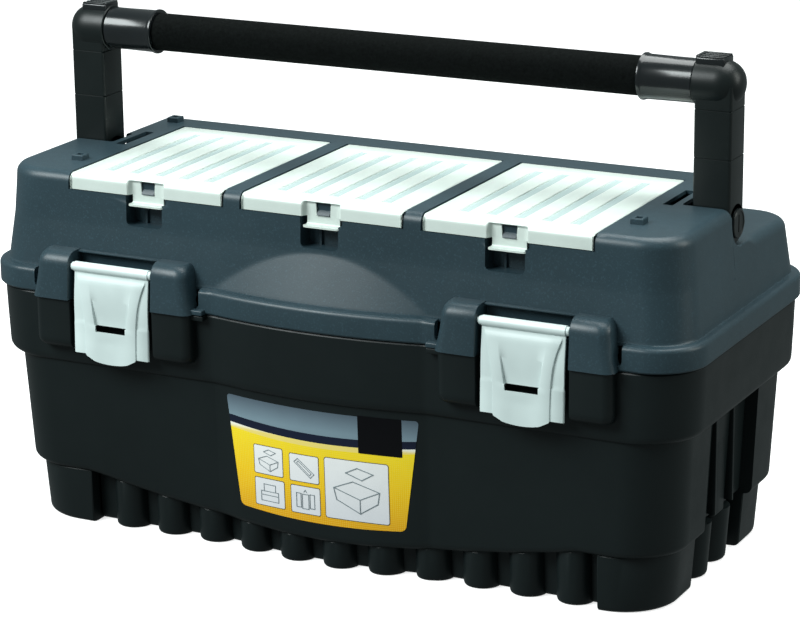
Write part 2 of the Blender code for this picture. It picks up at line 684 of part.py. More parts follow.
def build_latch(name, sign, material):
    """A draw latch: a plate hung from a rod, a raised tongue with a slot, and stub pins in the bosses."""
    x = sign * LATCH_X
    axis_y, axis_z = LATCH_AXIS
    back = [(y + LATCH_PLATE, z) for y, z in reversed(LATCH_FRONT)]
    plate = prism([*LATCH_FRONT, *back], x - LATCH_HALF_X, x + LATCH_HALF_X)
    latch = add_object(f"latch_{name}", plate, material=material, origin=(x, axis_y, axis_z))
    tongue_front = [(y - TONGUE_RISE, z) for y, z in LATCH_FRONT[:-1]]
    tongue_back = [(y + 0.001, z) for y, z in reversed(LATCH_FRONT[:-1])]
    join(latch, prism([*tongue_front, *TONGUE_TIP, *tongue_back], x - TONGUE_HALF_X, x + TONGUE_HALF_X))
    join(latch, rod((x - LATCH_ROD_HALF, axis_y, axis_z), (x + LATCH_ROD_HALF, axis_y, axis_z),
                    LATCH_ROD_RADIUS))
    reach = BOSS_INNER + TRUNNION_REACH
    join(latch, rod((x - reach, axis_y, axis_z), (x + reach, axis_y, axis_z), TRUNNION_RADIUS, 16))
    cut(latch, slab(x, LATCH_SLOT_HALF_X, (-0.16, -0.13), LATCH_SLOT_Z))
    return latch


# Handle

def build_arm(name, sign, material):
    """An upright arm: a round foot on the pivot, a square shank and a round head that holds the tube."""
    low_x, high_x = span(0, sign, ARM_X)
    shank = box((low_x, -ARM_HALF_Y, PIVOT_Z), (high_x, ARM_HALF_Y, TUBE_Z), bevel=0.002, edges="z")
    arm = add_object(f"handle_arm_{name}", shank, material=material, origin=(0, 0, PIVOT_Z))
    join(arm, rod((low_x, 0, PIVOT_Z), (high_x, 0, PIVOT_Z), ARM_FOOT_RADIUS, 32))
    head_end = sign * (ARM_X[1] - 0.75 * HEAD_RADIUS)
    join(arm, rod((sign * HEAD_FACE_X, 0, TUBE_Z), (head_end, 0, TUBE_Z), HEAD_RADIUS, 32))
    ball = bmesh.new()
    bmesh.ops.create_uvsphere(ball, u_segments=32, v_segments=16, radius=HEAD_RADIUS)
    ball.transform(Matrix.Translation((head_end, 0, TUBE_Z)) @ Matrix.Rotation(math.radians(90), 4, "Y"))
    join(arm, ball)
    inside = HEAD_FACE_X - 0.0125
    cut(arm, rod((sign * inside, 0, TUBE_Z), (sign * SOCKET_X, 0, TUBE_Z), TUBE_RADIUS + CLEARANCE, 32))
    cut(arm, rod((sign * inside, 0, PIVOT_Z), (sign * 0.30, 0, PIVOT_Z), PIVOT_PIN_RADIUS + 0.0004, 24))
    return arm


def build_pivot_pin(name, sign, material):
    """A slotted quarter-turn pin: its head covers the arm's foot and its shank ends inside the lid."""
    face = ARM_X[1] + PIVOT_HEAD_HEIGHT
    head = rod((sign * (ARM_X[1] + CLEARANCE), 0, PIVOT_Z), (sign * face, 0, PIVOT_Z), PIVOT_HEAD_RADIUS, 32)
    pin = add_object(f"handle_pin_{name}", head, material=material, origin=(0, 0, PIVOT_Z))
    shank = rod((sign * (ARM_X[1] + 0.001), 0, PIVOT_Z), (sign * PIVOT_PIN_X, 0, PIVOT_Z), PIVOT_PIN_RADIUS)
    join(pin, shank)
    low_x, high_x = span(0, sign, (face - PIVOT_SLOT_DEPTH, face + 0.01))
    half_y, half_z = PIVOT_SLOT
    cut(pin, box((low_x, -half_y, PIVOT_Z - half_z), (high_x, half_y, PIVOT_Z + half_z)))
    return pin


def build_clip(name, sign, material):
    """The ribbed snap clip that rides on top of a head."""
    low_x, high_x = span(0, sign, CLIP_X)
    top_z = TUBE_Z + HEAD_RADIUS + CLIP_HEIGHT
    body = box((low_x, -CLIP_HALF_Y, TUBE_Z + 0.012), (high_x, CLIP_HALF_Y, top_z), bevel=0.001, edges="x")
    clip = add_object(f"handle_clip_{name}", body, material=material, origin=(0, 0, PIVOT_Z))
    for groove in range(CLIP_GROOVES):
        x = low_x + (groove + 1) * (high_x - low_x) / (CLIP_GROOVES + 1)
        cut(clip, box((x - CLIP_GROOVE_HALF, -0.02, top_z - CLIP_GROOVE_DEPTH),
                      (x + CLIP_GROOVE_HALF, 0.02, top_z + 0.01)))
    cut(clip, rod((sign * 0.24, 0, TUBE_Z), (sign * 0.30, 0, TUBE_Z), HEAD_RADIUS + CLEARANCE, 32))
    return clip


def build_handle_bar(metal, foam, gloss):
    """The tube, its foam sleeve and the two ferrules, all carried by an empty on the pivot axis."""
    pivot = bpy.data.objects.new("handle_pivot", None)
    pivot.location = (0, 0, PIVOT_Z)
    PARTS.objects.link(pivot)
    height = TUBE_Z - PIVOT_Z
    inner = TUBE_RADIUS - TUBE_WALL
    turned("handle_tube", [(TUBE_RADIUS, TUBE_HALF), (TUBE_RADIUS, -TUBE_HALF), (inner, -TUBE_HALF),
                           (inner, TUBE_HALF)], pivot, height, metal)
    bore = TUBE_RADIUS + CLEARANCE
    neck = GRIP_RADIUS - GRIP_EDGE
    turned("handle_grip", [(neck, GRIP_HALF), (GRIP_RADIUS, GRIP_HALF - GRIP_EDGE),
                           (GRIP_RADIUS, GRIP_EDGE - GRIP_HALF), (neck, -GRIP_HALF),
                           (bore, -GRIP_HALF), (bore, GRIP_HALF)], pivot, height, foam)
    near = GRIP_HALF + CLEARANCE
    far = HEAD_FACE_X - CLEARANCE
    profile = [(FERRULE_END_RADIUS, far)]
    profile += [(radius, near + along) for radius, along in reversed(FERRULE_PROFILE)]
    profile += [(bore, near), (bore, far)]
    turned("handle_ferrule_right", profile, pivot, height, gloss)
    mirrored = [(radius, -along) for radius, along in reversed(profile)]
    turned("handle_ferrule_left", mirrored, pivot, height, gloss)


# Tray

def build_tray(material):
    """A shallow tray with front and back compartments, and a trough across its middle for the bail."""
    half_x, half_y = TRAY_HALF
    draft_x, draft_y = TRAY_DRAFT
    levels = [(half_x - draft_x, half_y - draft_y, TRAY_RADIUS - 0.002, TRAY_BOTTOM_Z)]
    levels += [(half_x, half_y, TRAY_RADIUS, TRAY_TOP_Z)]
    levels += [(half_x - TRAY_WALL, half_y - TRAY_WALL, TRAY_RADIUS - TRAY_WALL, TRAY_TOP_Z)]
    levels += [(half_x - TRAY_WALL - draft_x, half_y - TRAY_WALL - draft_y, TRAY_RADIUS - 0.004,
                TRAY_BOTTOM_Z + TRAY_WALL)]
    rings = [ring(PLAIN_PERIMETER, x, y, radius, z, bowed=False) for x, y, radius, z in levels]
    tray = add_object("tray", loft(rings), material=material)
    low_z = TRAY_BOTTOM_Z + TRAY_WALL / 2
    wall_top = TRAY_TOP_Z - TRAY_RIB_DROP
    end_x = half_x - 0.003
    end_y = half_y - 0.003
    rib = TRAY_RIB_HALF
    for y in TROUGH_Y:
        join(tray, box((-end_x, y - rib, low_z), (end_x, y + rib, wall_top)))
    for _, sign in SIDES:
        x = sign * TRAY_FRONT_RIB_X
        join(tray, box((x - rib, -end_y, low_z), (x + rib, TROUGH_Y[0], wall_top)))
        x = sign * TRAY_BACK_RIB_X
        join(tray, box((x - rib, TROUGH_Y[1], low_z), (x + rib, end_y, wall_top)))
        low_x, high_x = span(0, sign, TROUGH_END_X)
        join(tray, box((low_x, TROUGH_Y[0], low_z), (high_x, TROUGH_Y[1], wall_top)))
        cut(tray, rod((low_x - 0.004, 0, BAIL_Z), (high_x + 0.004, 0, BAIL_Z), BAIL_RADIUS + CLEARANCE, 20))
    return tray


def build_tray_handle(material):
    """A bail that folds flat into the trough: two feet in the cross walls, two arms and a grip."""
    path = [Vector((-BAIL_HALF_X - BAIL_FOOT, 0, 0)), Vector((-BAIL_HALF_X, 0, 0))]
    for sign, first in ((-1, 180), (1, 90)):
        for step in range(5):
            angle = math.radians(first - 90 * step / 4)
            x = sign * (BAIL_HALF_X - BAIL_CORNER - 0.0005) + BAIL_CORNER * math.cos(angle)
            path.append(Vector((x, BAIL_REACH - BAIL_CORNER + BAIL_CORNER * math.sin(angle), 0)))
    path += [Vector((BAIL_HALF_X, 0, 0)), Vector((BAIL_HALF_X + BAIL_FOOT, 0, 0))]
    curve = bpy.data.curves.new("tray_handle", "CURVE")
    curve.dimensions = "3D"
    curve.bevel_depth = BAIL_RADIUS
    curve.bevel_resolution = 3
    curve.use_fill_caps = True
    spline = curve.splines.new("POLY")
    spline.points.add(len(path) - 1)
    for point, place in zip(spline.points, path):
        point.co = (*place, 1.0)
    curve.materials.append(material)
    bail = bpy.data.objects.new("tray_handle", curve)
    bail.location = (0, 0, BAIL_Z)
    PARTS.objects.link(bail)
    return bail


def build_hinge_pin(name, sign, material):
    x = sign * HINGE_X
    start = (x - HINGE_PIN_HALF, HINGE_Y, PARTING_Z)
    pin = rod(start, (x + HINGE_PIN_HALF, HINGE_Y, PARTING_Z), HINGE_PIN_RADIUS, 16)
    return add_object(f"hinge_pin_{name}", pin, material=material, origin=(x, HINGE_Y, PARTING_Z))


def main():
    base_plastic = new_material("base_plastic", (0.014, 0.019, 0.021), 0.5)
    lid_plastic = new_material("lid_plastic", (0.042, 0.066, 0.078), 0.5)
    handle_plastic = new_material("handle_plastic", (0.018, 0.026, 0.026), 0.42)
    gloss_black = new_material("gloss_black", (0.008, 0.010, 0.011), 0.2)
    foam = new_material("grip_foam", (0.006, 0.008, 0.008), 0.85)
    aluminium = new_material("aluminium", (0.80, 0.81, 0.82), 0.35, metallic=1.0)
    steel = new_material("steel", (0.55, 0.56, 0.58), 0.4, metallic=1.0)
    latch_grey = new_material("latch_grey", (0.52, 0.66, 0.65), 0.4)
    clear_white = new_material("organizer_white", (0.78, 0.86, 0.84), 0.3, alpha=0.85)
    label_print = new_material("label_print", (0.85, 0.55, 0.04), 0.45)
    tray_grey = new_material("tray_plastic", (0.03, 0.035, 0.038), 0.5)

    build_tub(base_plastic)
    build_label(label_print)
    build_lid(lid_plastic)
    for name, index in ORGANIZERS:
        build_organizer_lid(name, index, clear_white)
    for name, sign in SIDES:
        build_latch(name, sign, latch_grey)
        build_hinge_pin(name, sign, steel)
        build_arm(name, sign, handle_plastic)
        build_pivot_pin(name, sign, handle_plastic)
        build_clip(name, sign, gloss_black)
    build_handle_bar(aluminium, foam, gloss_black)
    build_tray(tray_grey)
    build_tray_handle(latch_grey)


main()
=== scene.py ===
"""Looks of the toolbox with tray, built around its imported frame.

Metres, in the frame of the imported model: X across, the front at -Y, Z up.
"""

import json
import math

import bmesh
import bpy
from mathutils import Matrix, Vector


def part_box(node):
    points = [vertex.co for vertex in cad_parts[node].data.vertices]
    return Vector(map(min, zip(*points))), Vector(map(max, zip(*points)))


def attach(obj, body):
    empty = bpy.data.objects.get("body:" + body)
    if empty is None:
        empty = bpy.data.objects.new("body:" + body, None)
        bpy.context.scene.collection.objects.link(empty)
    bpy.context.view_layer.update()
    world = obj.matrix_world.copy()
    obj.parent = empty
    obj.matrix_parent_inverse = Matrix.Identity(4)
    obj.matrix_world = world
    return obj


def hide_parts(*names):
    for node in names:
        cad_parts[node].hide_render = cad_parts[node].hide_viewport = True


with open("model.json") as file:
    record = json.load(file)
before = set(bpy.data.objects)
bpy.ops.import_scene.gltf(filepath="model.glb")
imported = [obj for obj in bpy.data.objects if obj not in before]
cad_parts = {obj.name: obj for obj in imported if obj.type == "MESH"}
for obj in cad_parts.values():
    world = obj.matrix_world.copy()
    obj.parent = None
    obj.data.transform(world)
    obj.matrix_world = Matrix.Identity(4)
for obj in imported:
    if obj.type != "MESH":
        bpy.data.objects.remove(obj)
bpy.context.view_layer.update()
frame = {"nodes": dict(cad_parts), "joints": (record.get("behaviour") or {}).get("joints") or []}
JOINTS = {joint["name"]: joint for joint in frame["joints"]}


def joint_place(name):
    return Vector(JOINTS[name]["pos_m"])


def box_middle(name):
    return [(low + high) / 2 for low, high in zip(*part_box(name))]


# Driving places, read from the frame
RIM_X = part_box("lid_shell")[1].x
RIM_Y = 0.134
DECK_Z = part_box("organizer_lid_left")[1].z
HINGE = joint_place("lid_hinge")
HINGE_X = box_middle("hinge_pin_right")[0]
PARTING_Z = HINGE.z
PIVOT_Z = joint_place("handle_fold").z
LATCH = joint_place("latch_right_pivot")
ORGANIZER_PITCH = joint_place("organizer_right_hinge").x
TUBE_Z = box_middle("handle_tube")[2]

GAP = 0.0003
SEAM = 0.0004
SIDES = (("left", -1), ("right", 1))
ORGANIZERS = (("left", -1), ("centre", 0), ("right", 1))

# Front of the box
BOW_DEPTH = 0.0095
BOW_HALF = 0.090
BOW_FLANGE_X = (0.0950, 0.1085)
BULGE_FOOT_Z = 0.2128
BULGE_RISE = 0.0358
PANEL_SAG = 0.0215
SAG_HALF = 0.210
PANEL_FOOT = (0.2827, 0.1237)
PANEL_LEAN = (0.0038, 0.0037)
PANEL_FOOT_Z = 0.0505
PANEL_TOP_Z = 0.1330

# Skirt
LOBE_PITCH = 0.0385
LOBE_RADIUS = 0.0138
# The front feet's inner ends and the middle column's place, which all lie to the right of a centred row
FRONT_FEET = (-0.2125, 0.2250)
FRONT_LOBES_X = 0.0098
FOOT_EDGE_Y = 0.0495
SKIRT_DEPTH = 0.013
END_RECESS = 0.010
RIB_HALF = 0.0014
CORNER_RADIUS = 0.042

# Lid
WALL = 0.003
# The ledge's height at the arms, and how it falls backwards
LEDGE_Z = 0.2582
LEDGE_SLOPE = 0.026
NOTCH_RADIUS = 0.0162
END_REACH = 0.0945
DECK_INNER_X = 0.2535
DECK_BACK_Y = 0.082
WELL_FLOOR_Z = 0.243
RIM_TOP_Z = 0.2078
RIM_ROUND = 0.0036
RIM_RADIUS = 0.040
WALL_RADIUS = 0.034
DECK_ROUND = 0.0085
DECK_STEP_ROUND = 0.0022

# Places clear of the lid, where cutters start and end
BEFORE = -0.15
ABOVE = 0.32

# Latches and bosses
BOSS_INNER = 0.0372
BOSS_OUTER = 0.0668
BOSS_TOP_Z = 0.2293
BOSS_BOTTOM_Z = 0.1510

# The backs of the bosses leave room for the tray as it is lifted
TRAY_ROOM_TOP_Z = 0.2095
TRAY_ROOM_FRONT_Y = -0.1295

# Organizer covers
COVER_HALF_X = 0.06815
COVER_BACK_Y = 0.0541
COVER_FRONT_Y = -0.1204
COVER_PLATE = 0.0022
FLANGE_BOTTOM_Z = 0.2756

# The covers sit to the right in their slots, and the finger recesses lie a little to the left of their tabs
SLOT_PLAY = (0.0019, 0.0007)
FINGER_X = -0.0015
FINGER_HALF = 0.0160

# Handle
ARM_X = (0.2542, 0.2838)
ARM_HALF_Y = 0.0145
HEAD_RADIUS = 0.018
GRIP_RADIUS = 0.015
GRIP_HALF = 0.2085


def cosine(degrees):
    return math.cos(math.radians(degrees))


def sine(degrees):
    return math.sin(math.radians(degrees))


# Materials

def node(tree, kind, **inputs):
    """A new shader node; each keyword sets the input socket of that name, with _ for a space."""
    made = tree.nodes.new(kind)
    for name, value in inputs.items():
        made.inputs[name.replace("_", " ")].default_value = value
    return made


def new_material(name, roughness, **settings):
    material = bpy.data.materials.new(name)
    material.use_nodes = True
    shader = material.node_tree.nodes["Principled BSDF"]
    shader.inputs["Roughness"].default_value = roughness
    for label, value in settings.items():
        shader.inputs[label.replace("_", " ")].default_value = value
    return material, material.node_tree, shader


def paint(tree, shader, colour):
    tree.links.new(colour, shader.inputs["Base Color"])


def object_place(tree):
    return tree.nodes.new("ShaderNodeTexCoord").outputs["Object"]


def noise(tree, place, scale, detail=3.0, roughness=0.6):
    made = node(tree, "ShaderNodeTexNoise", Scale=scale, Detail=detail, Roughness=roughness)
    tree.links.new(place, made.inputs["Vector"])
    return made.outputs["Fac"]


def ramp(tree, value, stops):
    made = tree.nodes.new("ShaderNodeValToRGB")
    elements = made.color_ramp.elements
    while len(elements) < len(stops):
        elements.new(0.5)
    for element, (position, colour) in zip(elements, stops):
        element.position = position
        element.color = (*colour, 1.0)
    tree.links.new(value, made.inputs["Fac"])
    return made.outputs["Color"]


def mix(tree, share, first, second, mode="MIX"):
    made = tree.nodes.new("ShaderNodeMix")
    made.data_type = "RGBA"
    made.blend_type = mode
    for value, socket in ((share, made.inputs[0]), (first, made.inputs[6]), (second, made.inputs[7])):
        if hasattr(value, "links"):
            tree.links.new(value, socket)
        elif isinstance(value, tuple):
            socket.default_value = (*value, 1.0)
        else:
            socket.default_value = value
    return made.outputs[2]


def bumped(tree, shader, height, strength, distance):
    bump = node(tree, "ShaderNodeBump", Strength=strength, Distance=distance)
    tree.links.new(height, bump.inputs["Height"])
    tree.links.new(bump.outputs["Normal"], shader.inputs["Normal"])


def even(value):
    return (value,) * 3


def scaled(colour, factor):
    return tuple(min(1.0, channel * factor) for channel in colour)


def moulded(name, colour, roughness, grain=1500.0, depth=0.25, glint_share=0.25, **settings):
    """Moulded plastic: a fine spark-eroded grain, faint flow marks, and painted glints: lighter specks
    scattered evenly over it, standing in for light catching the grain.
    """
    material, tree, shader = new_material(name, roughness, **settings)
    place = object_place(tree)
    grain_height = noise(tree, place, grain, 2.0, 0.7)
    flow = noise(tree, place, 7.0, 4.0)
    shade = ramp(tree, flow, ((0.3, scaled(colour, 0.86)), (0.7, scaled(colour, 1.12))))
    # Painted glints: fine, evenly scattered specks lightened towards 3.2 times the colour, standing in for
    # light catching the grain
    painted_glints = ramp(tree, noise(tree, place, grain * 0.62, 1.0), ((0.56, even(0.0)), (0.78, even(glint_share))))
    paint(tree, shader, mix(tree, painted_glints, shade, scaled(colour, 3.2)))
    wear = ((0.25, even(roughness * 0.88)), (0.8, even(roughness * 1.12)))
    tree.links.new(ramp(tree, noise(tree, place, 40.0, 5.0), wear), shader.inputs["Roughness"])
    bumped(tree, shader, grain_height, depth, 0.0002)
    return material


def foam(name):
    """Closed-cell foam sleeve: matt, with visible pores."""
    material, tree, shader = new_material(name, 0.9, Specular_IOR_Level=0.05)
    place = object_place(tree)
    cells = node(tree, "ShaderNodeTexVoronoi", Scale=1100.0)
    tree.links.new(place, cells.inputs["Vector"])
    rough_grain = noise(tree, place, 420.0, 5.0, 0.75)
    tone = ramp(tree, rough_grain, ((0.3, (0.0010, 0.0014, 0.0013)), (0.75, (0.0050, 0.0064, 0.0062))))
    paint(tree, shader, tone)
    height = mix(tree, 0.5, cells.outputs["Distance"], rough_grain)
    bumped(tree, shader, height, 0.6, 0.0006)
    return material


def frosted(name, colour, roughness, **settings):
    """Natural polypropylene: milky, with a faint cloudiness."""
    material, tree, shader = new_material(name, roughness, **settings)
    place = object_place(tree)
    cloud = noise(tree, place, 22.0, 4.0)
    tone = ramp(tree, cloud, ((0.3, scaled(colour, 0.94)), (0.7, scaled(colour, 1.03))))
    paint(tree, shader, tone)
    bumped(tree, shader, noise(tree, place, 900.0, 2.0), 0.06, 0.0002)
    return material


def drawn_metal(name, colour):
    material, tree, shader = new_material(name, 0.35, Metallic=1.0)
    place = object_place(tree)
    stretch = node(tree, "ShaderNodeMapping")
    stretch.inputs["Scale"].default_value = (6.0, 900.0, 900.0)
    tree.links.new(place, stretch.inputs["Vector"])
    lines = noise(tree, stretch.outputs["Vector"], 1.0, 3.0)
    tone = ramp(tree, lines, ((0.3, scaled(colour, 0.8)), (0.7, colour)))
    paint(tree, shader, tone)
    tree.links.new(ramp(tree, lines, ((0.2, even(0.28)), (0.8, even(0.45)))), shader.inputs["Roughness"])
    return material


def printed(name, stops, low, high, dots=0.0):
    """Printed film whose colour runs from its bottom to its top, with an optional fine dot screen."""
    material, tree, shader = new_material(name, 0.35, Specular_IOR_Level=0.12)
    place = object_place(tree)
    split = tree.nodes.new("ShaderNodeSeparateXYZ")
    tree.links.new(place, split.inputs[0])
    share = tree.nodes.new("ShaderNodeMapRange")
    share.inputs["From Min"].default_value = low
    share.inputs["From Max"].default_value = high
    tree.links.new(split.outputs["Z"], share.inputs["Value"])
    colour = ramp(tree, share.outputs[0], stops)
    if dots:
        flat = node(tree, "ShaderNodeCombineXYZ")
        tree.links.new(split.outputs["X"], flat.inputs["X"])
        tree.links.new(split.outputs["Z"], flat.inputs["Y"])
        cells = node(tree, "ShaderNodeTexVoronoi", Scale=620.0, Randomness=0.0)
        cells.voronoi_dimensions = "2D"
        tree.links.new(flat.outputs[0], cells.inputs["Vector"])
        screen = ramp(tree, cells.outputs["Distance"], ((0.30, even(dots)), (0.42, even(0.0))))
        colour = mix(tree, screen, colour, (1.0, 0.86, 0.16))
    soft = ramp(tree, noise(tree, place, 60.0, 3.0), ((0.3, even(0.96)), (0.7, even(1.0))))
    paint(tree, shader, mix(tree, 1.0, colour, soft, "MULTIPLY"))
    return material


# Mesh helpers

def face_outwards(shape, outward):
    """Turns the faces so that an open surface faces the given way, or a closed one outwards."""
    bmesh.ops.recalc_face_normals(shape, faces=shape.faces)
    if outward is None:
        return
    total = sum((face.normal * face.calc_area() for face in shape.faces), Vector())
    if total.dot(Vector(outward)) < 0:
        bmesh.ops.reverse_faces(shape, faces=shape.faces)


def new_piece(name, shape, material, body, replaced=(), sharp=38, scene_only=False, outward=None):
    """A piece from a bmesh in the row frame, riding on a body."""
    face_outwards(shape, outward)
    mesh = bpy.data.meshes.new(name)
    shape.to_mesh(mesh)
    shape.free()
    piece = bpy.data.objects.new(name, mesh)
    bpy.context.scene.collection.objects.link(piece)
    mesh.materials.append(material)
    mesh.shade_smooth()
    mesh.set_sharp_from_angle(angle=math.radians(sharp))
    if scene_only:
        return piece
    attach(piece, body)
    if replaced:
        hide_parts(*replaced)
    return piece


def bake(piece, sharp=38):
    """Applies the piece's modifiers to its mesh and drops the tools they used."""
    tools = [modifier.object for modifier in piece.modifiers if modifier.type == "BOOLEAN"]
    graph = bpy.context.evaluated_depsgraph_get()
    graph.update()
    mesh = bpy.data.meshes.new_from_object(piece.evaluated_get(graph))
    piece.modifiers.clear()
    piece.data = mesh
    for tool in tools:
        bpy.data.objects.remove(tool, do_unlink=True)
    mesh.shade_smooth()
    mesh.set_sharp_from_angle(angle=math.radians(sharp))
    return piece


def combine(piece, shape, operation):
    tool = new_piece("tool", shape, piece.data.materials[0], None, scene_only=True)
    modifier = piece.modifiers.new("combine", "BOOLEAN")
    modifier.operation = operation
    modifier.solver = "EXACT"
    modifier.object = tool


def cut(piece, shape):
    combine(piece, shape, "DIFFERENCE")


def join(piece, shape):
    combine(piece, shape, "UNION")


def soften(piece, width, segments=2, angle=32):
    modifier = piece.modifiers.new("soften", "BEVEL")
    modifier.width = width
    modifier.segments = segments
    modifier.limit_method = "ANGLE"
    modifier.angle_limit = math.radians(angle)
    modifier.use_clamp_overlap = True
    modifier.harden_normals = False


def thicken(piece, thickness):
    """Gives an open surface a thickness behind its visible face."""
    modifier = piece.modifiers.new("thickness", "SOLIDIFY")
    modifier.thickness = thickness
    modifier.offset = -1.0


def merged(shapes):
    """Several bmeshes as one."""
    whole = bmesh.new()
    for shape in shapes:
        passing = bpy.data.meshes.new("passing")
        shape.to_mesh(passing)
        shape.free()
        whole.from_mesh(passing)
        bpy.data.meshes.remove(passing)
    return whole


def runs_along(edge, axes):
    direction = (edge.verts[1].co - edge.verts[0].co).normalized()
    return any(abs(direction["xyz".index(axis)]) > 0.99 for axis in axes)


def box(low, high, bevel=0.0, segments=3, edges=None):
    """A box between two corners in any order, with its edges rounded: all, or those along the named axes."""
    shape = bmesh.new()
    bmesh.ops.create_cube(shape, size=1.0)
    corner = Vector([min(pair) for pair in zip(low, high)])
    size = Vector([abs(b - a) for a, b in zip(low, high)])
    shape.transform(Matrix.Translation(corner + size / 2) @ Matrix.Diagonal((*size, 1.0)))
    if bevel:
        chosen = [edge for edge in shape.edges if edges is None or runs_along(edge, edges)]
        bmesh.ops.bevel(shape, geom=chosen, offset=bevel, segments=segments, profile=0.5, affect="EDGES")
    return shape


def grid(rows, closed=True, caps=(False, False), wrapped=False, keep=None):
    """A surface through rows of points.

    closed joins each row's ends, wrapped joins the last row to the first, and caps fills the outer rows.

    keep(row, column) says which faces are made; the others leave a hole or end the surface early.
    """
    shape = bmesh.new()
    loops = [[shape.verts.new(point) for point in row] for row in rows]
    count = len(loops[0])
    followers = loops[1:] + loops[:1] if wrapped else loops[1:]
    for number, (lower, upper) in enumerate(zip(loops, followers)):
        for i in range(count if closed else count - 1):
            j = (i + 1) % count
            if keep is None or keep(number, i):
                shape.faces.new((lower[i], lower[j], upper[j], upper[i]))
    bmesh.ops.delete(shape, geom=[vertex for vertex in shape.verts if not vertex.link_faces], context="VERTS")
    if caps[0]:
        shape.faces.new(loops[0])
    if caps[1]:
        shape.faces.new(loops[-1])
    return shape


def turned(profile, centre, steps=48, pierced=False):
    """A turned solid: (distance along X, radius) points about a line through the centre.

    A pierced one is a ring, whose last point joins its first.
    """
    angles = [2 * math.pi * step / steps for step in range(steps)]
    around = [(math.cos(angle), math.sin(angle)) for angle in angles]
    x, y, z = centre
    rows = [[(x + along, y + radius * c, z + radius * s) for c, s in around] for along, radius in profile]
    return grid(rows, wrapped=True) if pierced else grid(rows, caps=(True, True))


def arc(centre, radius, first, last, steps):
    """Points round a centre, from one angle to another in degrees."""
    angles = [math.radians(first + (last - first) * step / steps) for step in range(steps + 1)]
    return [(centre[0] + radius * math.cos(a), centre[1] + radius * math.sin(a)) for a in angles]


def between(low, high, count):
    return [low + (high - low) * i / (count - 1) for i in range(count)]


def blend_step(value, low, high):
    share = max(0.0, min(1.0, (value - low) / (high - low)))
    return share * share * (3 - 2 * share)


# Perimeter of the box. A station is a side, the place along it or a corner's angle, and a column's height

def lobe_stations(count, low, high, middle):
    """Places along a side, whose feet end at low and start again at high, with round columns between them."""
    steps = ((0.0012, 1.0), (0.0004, 0.94), (0.0, 0.75), (0.0, 0.0))
    stations = [(low - step, height) for step, height in steps]
    for index in range(count):
        centre = middle + (index - (count - 1) / 2) * LOBE_PITCH
        for degrees in between(-90, 90, 15):
            angle = math.radians(degrees)
            stations.append((centre + LOBE_RADIUS * math.sin(angle), math.cos(angle)))
    return stations + [(high + step, height) for step, height in reversed(steps)]


def perimeter(front, end, back, corner_steps=14):
    stations = []
    for turn, (side, places) in enumerate((("front", front), ("right", end), ("back", back), ("left", end))):
        stations += [(side, place, height) for place, height in places]
        for step in range(corner_steps + 1):
            angle = math.radians(-90 + 90 * turn + 90 * step / corner_steps)
            stations.append(("corner", angle, turn))
    return stations


def bow_at(x, z):
    """How far the front stands out: the bow below, and the arched bulge of the lid above it."""
    across = 1 - (x / BOW_HALF) ** 2
    if across <= 0:
        return 0.0
    if z <= BULGE_FOOT_Z:
        return BOW_DEPTH * across
    return BOW_DEPTH / BULGE_RISE * max(0.0, BULGE_FOOT_Z + BULGE_RISE * across - z)


CORNER_SIGNS = ((1, -1), (1, 1), (-1, 1), (-1, -1))


def corner_point(corner, angle, half_x, half_y, radius, z, reach):
    """A point at a reach from the middle of a rectangle's rounded corner."""
    sign_x, sign_y = CORNER_SIGNS[corner]
    x = sign_x * (half_x - radius) + reach * math.cos(angle)
    y = sign_y * (half_y - radius) + reach * math.sin(angle)
    return x, y, z


def tub_level(half_x, half_y, z, **more):
    """The tub's sizes at a height. more sets the radius, skirt depth, end recess, lobe scale or sag."""
    return dict(half_x=half_x, half_y=half_y, z=z, **more)


def tub_ring(level):
    half_x, half_y, z = level["half_x"], level["half_y"], level["z"]
    radius = level.get("radius", CORNER_RADIUS)
    skirt = level.get("skirt", 0.0)
    lobes = level.get("lobes", 1.0)
    points = []
    for side, place, extra in TUB_STATIONS:
        if side == "corner":
            points.append(corner_point(extra, place, half_x, half_y, radius, z, radius - skirt * (1 - lobes)))
            continue
        inset = skirt * (1 - extra * lobes)
        if side == "front":
            low = z - level.get("sag", 0.0) * max(0.0, 1 - (place / SAG_HALF) ** 2)
            points.append((place, -half_y + inset - bow_at(place, z), low))
        elif side == "back":
            points.append((-place, half_y - inset, z))
        else:
            sign = 1 if side == "right" else -1
            hollow = level.get("recess", 0.0) if abs(place) <= FOOT_EDGE_Y else 0.0
            points.append((sign * (half_x - inset - hollow), sign * place, z))
    return points


BACK_FEET = (-FRONT_FEET[1], -FRONT_FEET[0])
TUB_STATIONS = perimeter(lobe_stations(11, *FRONT_FEET, FRONT_LOBES_X),
                         lobe_stations(2, -FOOT_EDGE_Y, FOOT_EDGE_Y, 0.0),
                         lobe_stations(11, *BACK_FEET, -FRONT_LOBES_X))


# Tub

def rounded_step(start, end, steps=4):
    """Levels between two levels along a quarter ellipse: first mostly outwards, then mostly up."""
    levels = []
    for step in range(1, steps + 1):
        angle = math.radians(90 * step / steps)
        across, up = math.sin(angle), 1 - math.cos(angle)
        level = dict(end)
        for key, share in (("half_x", across), ("half_y", across), ("z", up)):
            level[key] = start[key] + (end[key] - start[key]) * share
        levels.append(level)
    return levels


